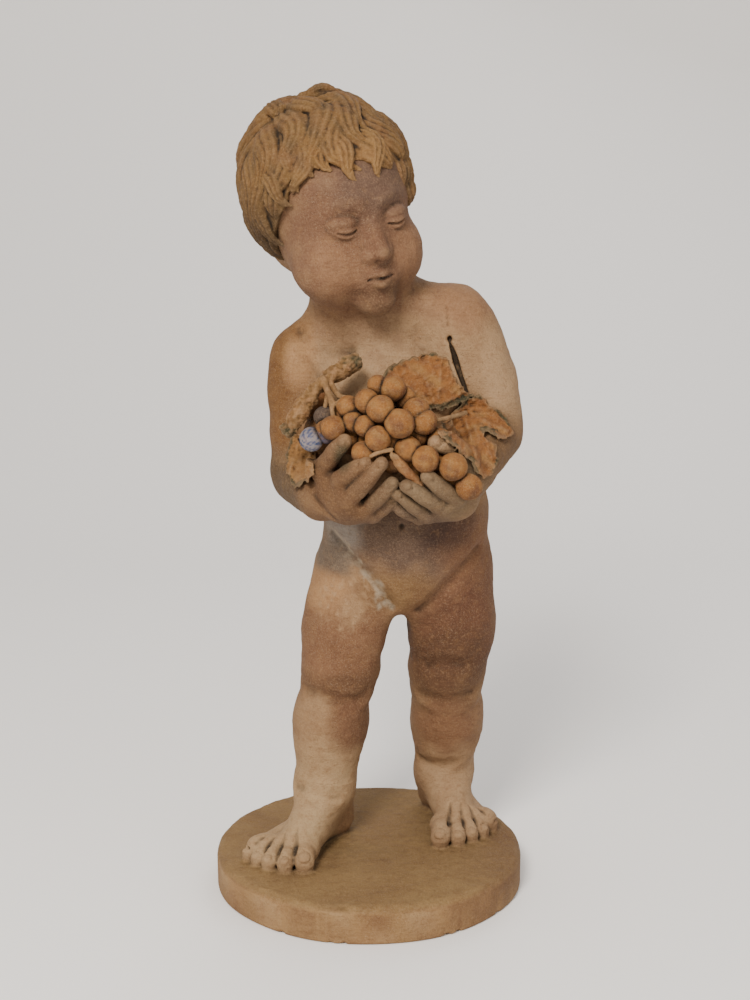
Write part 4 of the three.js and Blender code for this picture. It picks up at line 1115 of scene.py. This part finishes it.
# A leaf as a sheet over the clay, in x and z: its rim, and how far its two faces stand off
def leafSheet(shape, x, z, seed):
    flat = (x, x * 0, z)
    rim = outlineDistance(shape["outline"], x, z)
    rim = rim + 1.3 * waves(flat, 9, seed) + 0.8 * waves(flat, 3.6, seed + 1)
    lifted = np.exp(np.minimum(rim, 0) / 3.2)
    veins = 0
    for tip in shape["tips"]:
        veins = np.maximum(veins, np.exp(-(segmentDistance(x, z, shape["stalk"], tip) / 1.5) ** 2))
    lower = -3 + (3 + leaf["curl"]) * lifted * (0.75 + 0.35 * waves(flat, 14, seed + 2))
    grain = 0.5 * waves(flat, 6, seed + 3) + 0.35 * waves((x, x * 0, z * 2.4), 4.5, seed + 4)
    upper = leaf["thick"] + leaf["curl"] * lifted + leaf["veins"] * veins + grain
    return rim, lower, upper


def makeVine():
    clay = Clay(*blocks["vine"], detail["vine"])
    clay.lay(bodyLumps() + chain(bunchCore, 4))
    under = clay.field.copy()
    x, z = clay.axes[0][:, None, None], clay.axes[2][None, None, :]
    y = clay.axes[1][None, :, None]
    vine = np.full_like(under, Clay.far)
    for seed, shape in enumerate(leaves.values()):
        rim, lower, upper = leafSheet(shape, x, z, 40 + 5 * seed)
        sheet = np.maximum(np.maximum(under - upper, lower - under), rim)
        vine = np.minimum(vine, np.maximum(sheet, y + 8))
    clay.field = vine.astype(np.float32)
    clay.lay(caneLumps() + chain(bunchCore, 2))
    print("vine laid")
    piece = meshOf(clay, "vine_leaves", budget["vine"])
    points, faces = readMesh(piece.data)
    print("vine has", len(faces), "triangles")
    piece.data = meshFrom("vine_leaves", toFrame(points), faces)
    paint(piece.data, paintVine(points), *reliefOf(clay, points, 3, 8))
    return piece


# Give a node its values: a socket is linked, anything else is set
def fill(tree, made, values):
    for socket, value in values.items():
        if isinstance(value, bpy.types.NodeSocket):
            tree.links.new(value, made.inputs[socket])
        else:
            made.inputs[socket].default_value = value


def node(tree, kind, values=None, **settings):
    made = tree.nodes.new(kind)
    for name, value in settings.items():
        setattr(made, name, value)
    fill(tree, made, values or {})
    return made


# Nodes that set one ball on each point, each turned and slightly uneven
grapeSkin = {"unevenness": 0.0022, "lumps": 70.0}


def grapeTree(material):
    tree = bpy.data.node_groups.new("setGrapes", "GeometryNodeTree")
    face = tree.interface
    face.new_socket("Geometry", in_out="INPUT", socket_type="NodeSocketGeometry")
    uneven = face.new_socket("Unevenness", in_out="INPUT", socket_type="NodeSocketFloat")
    face.new_socket("Geometry", in_out="OUTPUT", socket_type="NodeSocketGeometry")
    start = node(tree, "NodeGroupInput")
    ball = node(tree, "GeometryNodeMeshIcoSphere", {"Radius": 1.0, "Subdivisions": 5})
    size = node(tree, "GeometryNodeInputNamedAttribute", {"Name": "size"}, data_type="FLOAT")
    turn = node(tree, "FunctionNodeRandomValue", {"Min": (0, 0, 0), "Max": (6.28, 6.28, 6.28), "Seed": 4},
                data_type="FLOAT_VECTOR")
    put = node(tree, "GeometryNodeInstanceOnPoints", {
        "Points": start.outputs["Geometry"], "Instance": ball.outputs["Mesh"],
        "Rotation": turn.outputs["Value"], "Scale": size.outputs["Attribute"]})
    real = node(tree, "GeometryNodeRealizeInstances", {"Geometry": put.outputs["Instances"]})
    lumps = node(tree, "ShaderNodeTexNoise", {"Scale": grapeSkin["lumps"], "Detail": 2.0})
    level = node(tree, "ShaderNodeMath", {0: lumps.outputs["Fac"], 1: 0.5}, operation="SUBTRACT")
    push = node(tree, "ShaderNodeMath", {0: level.outputs["Value"], 1: start.outputs["Unevenness"]},
                operation="MULTIPLY")
    normal = node(tree, "GeometryNodeInputNormal")
    outward = node(tree, "ShaderNodeVectorMath", {
        0: normal.outputs["Normal"], "Scale": push.outputs["Value"]}, operation="SCALE")
    move = node(tree, "GeometryNodeSetPosition", {
        "Geometry": real.outputs["Geometry"], "Offset": outward.outputs["Vector"]})
    smooth = node(tree, "GeometryNodeSetShadeSmooth", {"Geometry": move.outputs["Geometry"]})
    finish = node(tree, "GeometryNodeSetMaterial", {
        "Geometry": smooth.outputs["Geometry"], "Material": material})
    node(tree, "NodeGroupOutput", {"Geometry": finish.outputs["Geometry"]})
    return tree, uneven.identifier


def makeGrapes(material):
    points = np.array([g[:3] for g in grapes])
    seat = bpy.data.meshes.new("grapes")
    seat.from_pydata([tuple(p) for p in toFrame(points)], [], [])
    attribute(seat, "size", [g[3] * unit for g in grapes])
    piece = added("grapes", seat)
    modifier = piece.modifiers.new("setGrapes", "NODES")
    modifier.node_group, uneven = grapeTree(material)
    modifier[uneven] = grapeSkin["unevenness"]
    plain(piece)
    points, _ = readMesh(piece.data)
    paint(piece.data, *paintGrapes(points / unit - vec(0, 0, drawn["baseThickness"])))
    return piece


# Fired clay, shared by every part: broad and fine mottling, grime and painted shade in the hollows, pale
# dust, pores and the strokes of a brush. Its stains darken what lies under them.
stains = {
    "broad": (0.62, 0.5, 0.42), "mottled": (0.66, 0.52, 0.42), "fine": (0.6, 0.5, 0.42),
    "strokes": (0.68, 0.6, 0.52), "pores": (0.35, 0.28, 0.22),
}
claySockets = {
    "INPUT": {"Tone": "Color", "Hollow": "Float", "GrimeAndShade": "Float", "Dust": "Float", "Coarseness": "Float"},
    "OUTPUT": {"Color": "Color", "Roughness": "Float", "Height": "Float"},
}


def clayGroup():
    tree = bpy.data.node_groups.new("firedClay", "ShaderNodeTree")
    for way, sockets in claySockets.items():
        for name, kind in sockets.items():
            tree.interface.new_socket(name, in_out=way, socket_type="NodeSocket" + kind)
    given = node(tree, "NodeGroupInput").outputs
    place = node(tree, "ShaderNodeTexCoord").outputs["Object"]

    def noise(scale, depth, distortion=0.0, at=place):
        values = {"Vector": at, "Scale": scale, "Detail": depth, "Distortion": distortion}
        return node(tree, "ShaderNodeTexNoise", values).outputs["Fac"]

    def ranged(value, low, high, to=(0.0, 1.0)):
        values = {"Value": value, "From Min": low, "From Max": high, "To Min": to[0], "To Max": to[1]}
        return node(tree, "ShaderNodeMapRange", values).outputs["Result"]

    def reckon(operation, a, b):
        return node(tree, "ShaderNodeMath", {0: a, 1: b}, operation=operation).outputs["Value"]

    def times(a, b):
        return reckon("MULTIPLY", a, b)

    broad, mottled, fine, grain = noise(26, 4, 0.4), noise(150, 5, 0.6), noise(620, 3), noise(1500, 2)
    stretched = node(tree, "ShaderNodeMapping", {"Vector": place, "Scale": (0.14, 0.3, 1)})
    strokes = noise(420, 3, 0.8, stretched.outputs["Vector"])
    grimeAndShade = times(times(given["Hollow"], ranged(mottled, 0.3, 0.6, (0.7, 1.5))), given["GrimeAndShade"])
    specks = times(ranged(grain, 0.58, 0.7), ranged(broad, 0.42, 0.62, (0.2, 1)))
    pores = ranged(grain, 0.36, 0.3)
    tone = given["Tone"]
    for amount, over, blend in (
        (times(ranged(broad, 0.42, 0.68), 0.35), stains["broad"], "MULTIPLY"),
        (ranged(mottled, 0.5, 0.72, (0, 0.45)), stains["mottled"], "MULTIPLY"),
        (ranged(mottled, 0.44, 0.3, (0, 0.16)), clayColours["worn"], "MIX"),
        (ranged(fine, 0.5, 0.7, (0, 0.3)), stains["fine"], "MULTIPLY"),
        (ranged(fine, 0.46, 0.3, (0, 0.22)), clayColours["sand"], "MIX"),
        # Grime and painted shade: the hollows darkened towards char
        (ranged(grimeAndShade, 0.04, 0.95, (0, 0.92)), clayColours["char"], "MIX"),
        (times(specks, given["Dust"]), clayColours["chalk"], "MIX"),
        (times(pores, 0.4), stains["pores"], "MULTIPLY"),
        (ranged(strokes, 0.52, 0.7, (0, 0.35)), stains["strokes"], "MULTIPLY"),
    ):
        values = {"Factor": amount, "A": tone, "B": (*over, 1)}
        tone = node(tree, "ShaderNodeMix", values, data_type="RGBA", blend_type=blend).outputs["Result"]
    height = times(fine, 0.6)
    for relief, amount in ((mottled, given["Coarseness"]), (strokes, 0.5), (grain, 0.25), (pores, -0.3)):
        height = reckon("ADD", height, times(relief, amount))
    roughness = ranged(mottled, 0.35, 0.65, (0.95, 0.78))
    node(tree, "NodeGroupOutput", {"Color": tone, "Roughness": roughness, "Height": height})
    return tree


firedClay = clayGroup()


def clayMaterial(name, grimeAndShadeAmount, dust, coarseness):
    material = bpy.data.materials.new(name)
    material.use_nodes = True
    tree = material.node_tree
    tone, hollow = (node(tree, "ShaderNodeAttribute", attribute_name=n) for n in ("tone", "hollow"))
    clay = node(tree, "ShaderNodeGroup", {
        "Tone": tone.outputs["Color"], "Hollow": hollow.outputs["Fac"],
        "GrimeAndShade": grimeAndShadeAmount, "Dust": dust, "Coarseness": coarseness}, node_tree=firedClay)
    bump = node(tree, "ShaderNodeBump", {
        "Strength": 1.0, "Distance": 0.0009, "Height": clay.outputs["Height"]})
    fill(tree, tree.nodes["Principled BSDF"], {
        "Base Color": clay.outputs["Color"], "Roughness": clay.outputs["Roughness"],
        "Specular IOR Level": 0.25, "Normal": bump.outputs["Normal"]})
    return material


grapeClay = clayMaterial("grape clay", 0.75, 0.35, 1.0)
for piece, material in (
    (makeBody(), clayMaterial("skin clay", 0.9, 0.35, 0.8)),
    (makeHair(), clayMaterial("hair clay", 1.15, 0.15, 0.9)),
    (makeVine(), clayMaterial("vine clay", 0.75, 0.2, 1.6)),
    (makeGrapes(grapeClay), grapeClay),
):
    if not piece.data.materials:
        piece.data.materials.append(material)
    piece.data.shade_smooth()
    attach(piece, "root")
    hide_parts("putto_figure")


# The stage: a pale floor that curves up behind, soft lights, and the camera
view = {"place": (0.0056, -1.299, 0.587), "down": 10.3, "lens": 36, "sensor": 24}
floorShape = {"half": 6, "front": -3, "bend": 1.3, "radius": 1.2, "steps": 25, "top": 5}
lightAim = Vector((0, 0, 0.4))
lights = {  # place, watts, size, colour
    "key": ((-0.6, -2.0, 1.85), 88, 0.7, (1, 0.955, 0.89)),
    "fill": ((1.7, -1.6, 1.3), 7, 1.4, (1, 0.98, 0.96)),
    "back": ((0.6, 1.8, 1.9), 14, 1.2, (0.95, 0.97, 1)),
}


def makeFloor():
    half, bend, radius = (floorShape[n] for n in ("half", "bend", "radius"))
    rows = [(floorShape["front"], 0)]
    for a in np.radians(np.linspace(0, 90, floorShape["steps"])):
        rows.append((bend + radius * math.sin(a), radius * (1 - math.cos(a))))
    rows.append((bend + radius, floorShape["top"]))
    mesh = bpy.data.meshes.new("floor")
    mesh.from_pydata([(x, y, z) for y, z in rows for x in (-half, half)], [],
                     [(2 * i, 2 * i + 1, 2 * i + 3, 2 * i + 2) for i in range(len(rows) - 1)])
    mesh.shade_smooth()
    floor = added("floor", mesh)
    pale = bpy.data.materials.new("pale floor")
    pale.use_nodes = True
    fill(pale.node_tree, pale.node_tree.nodes["Principled BSDF"], {
        "Base Color": (0.88, 0.85, 0.82, 1), "Roughness": 0.9})
    mesh.materials.append(pale)


def makeLight(name, place, power, size, colour):
    light = bpy.data.lights.new(name, "AREA")
    light.energy, light.size, light.color = power, size, colour
    lamp = added(name, light)
    lamp.location = place
    lamp.rotation_euler = (lightAim - Vector(place)).to_track_quat("-Z", "Y").to_euler()


def makeWorld():
    world = bpy.data.worlds.new("world")
    world.use_nodes = True
    fill(world.node_tree, world.node_tree.nodes["Background"], {
        "Color": (0.86, 0.845, 0.83, 1), "Strength": 0.85})
    bpy.context.scene.world = world


def makeCamera():
    data = bpy.data.cameras.new("camera")
    data.sensor_fit, data.sensor_width, data.lens = "AUTO", view["sensor"], view["lens"]
    camera = added("camera", data)
    camera.location = view["place"]
    camera.rotation_euler = Euler((math.radians(90 - view["down"]), 0, 0))
    bpy.context.scene.camera = camera


makeFloor()
for name, row in lights.items():
    makeLight(name, *row)
makeWorld()
makeCamera()
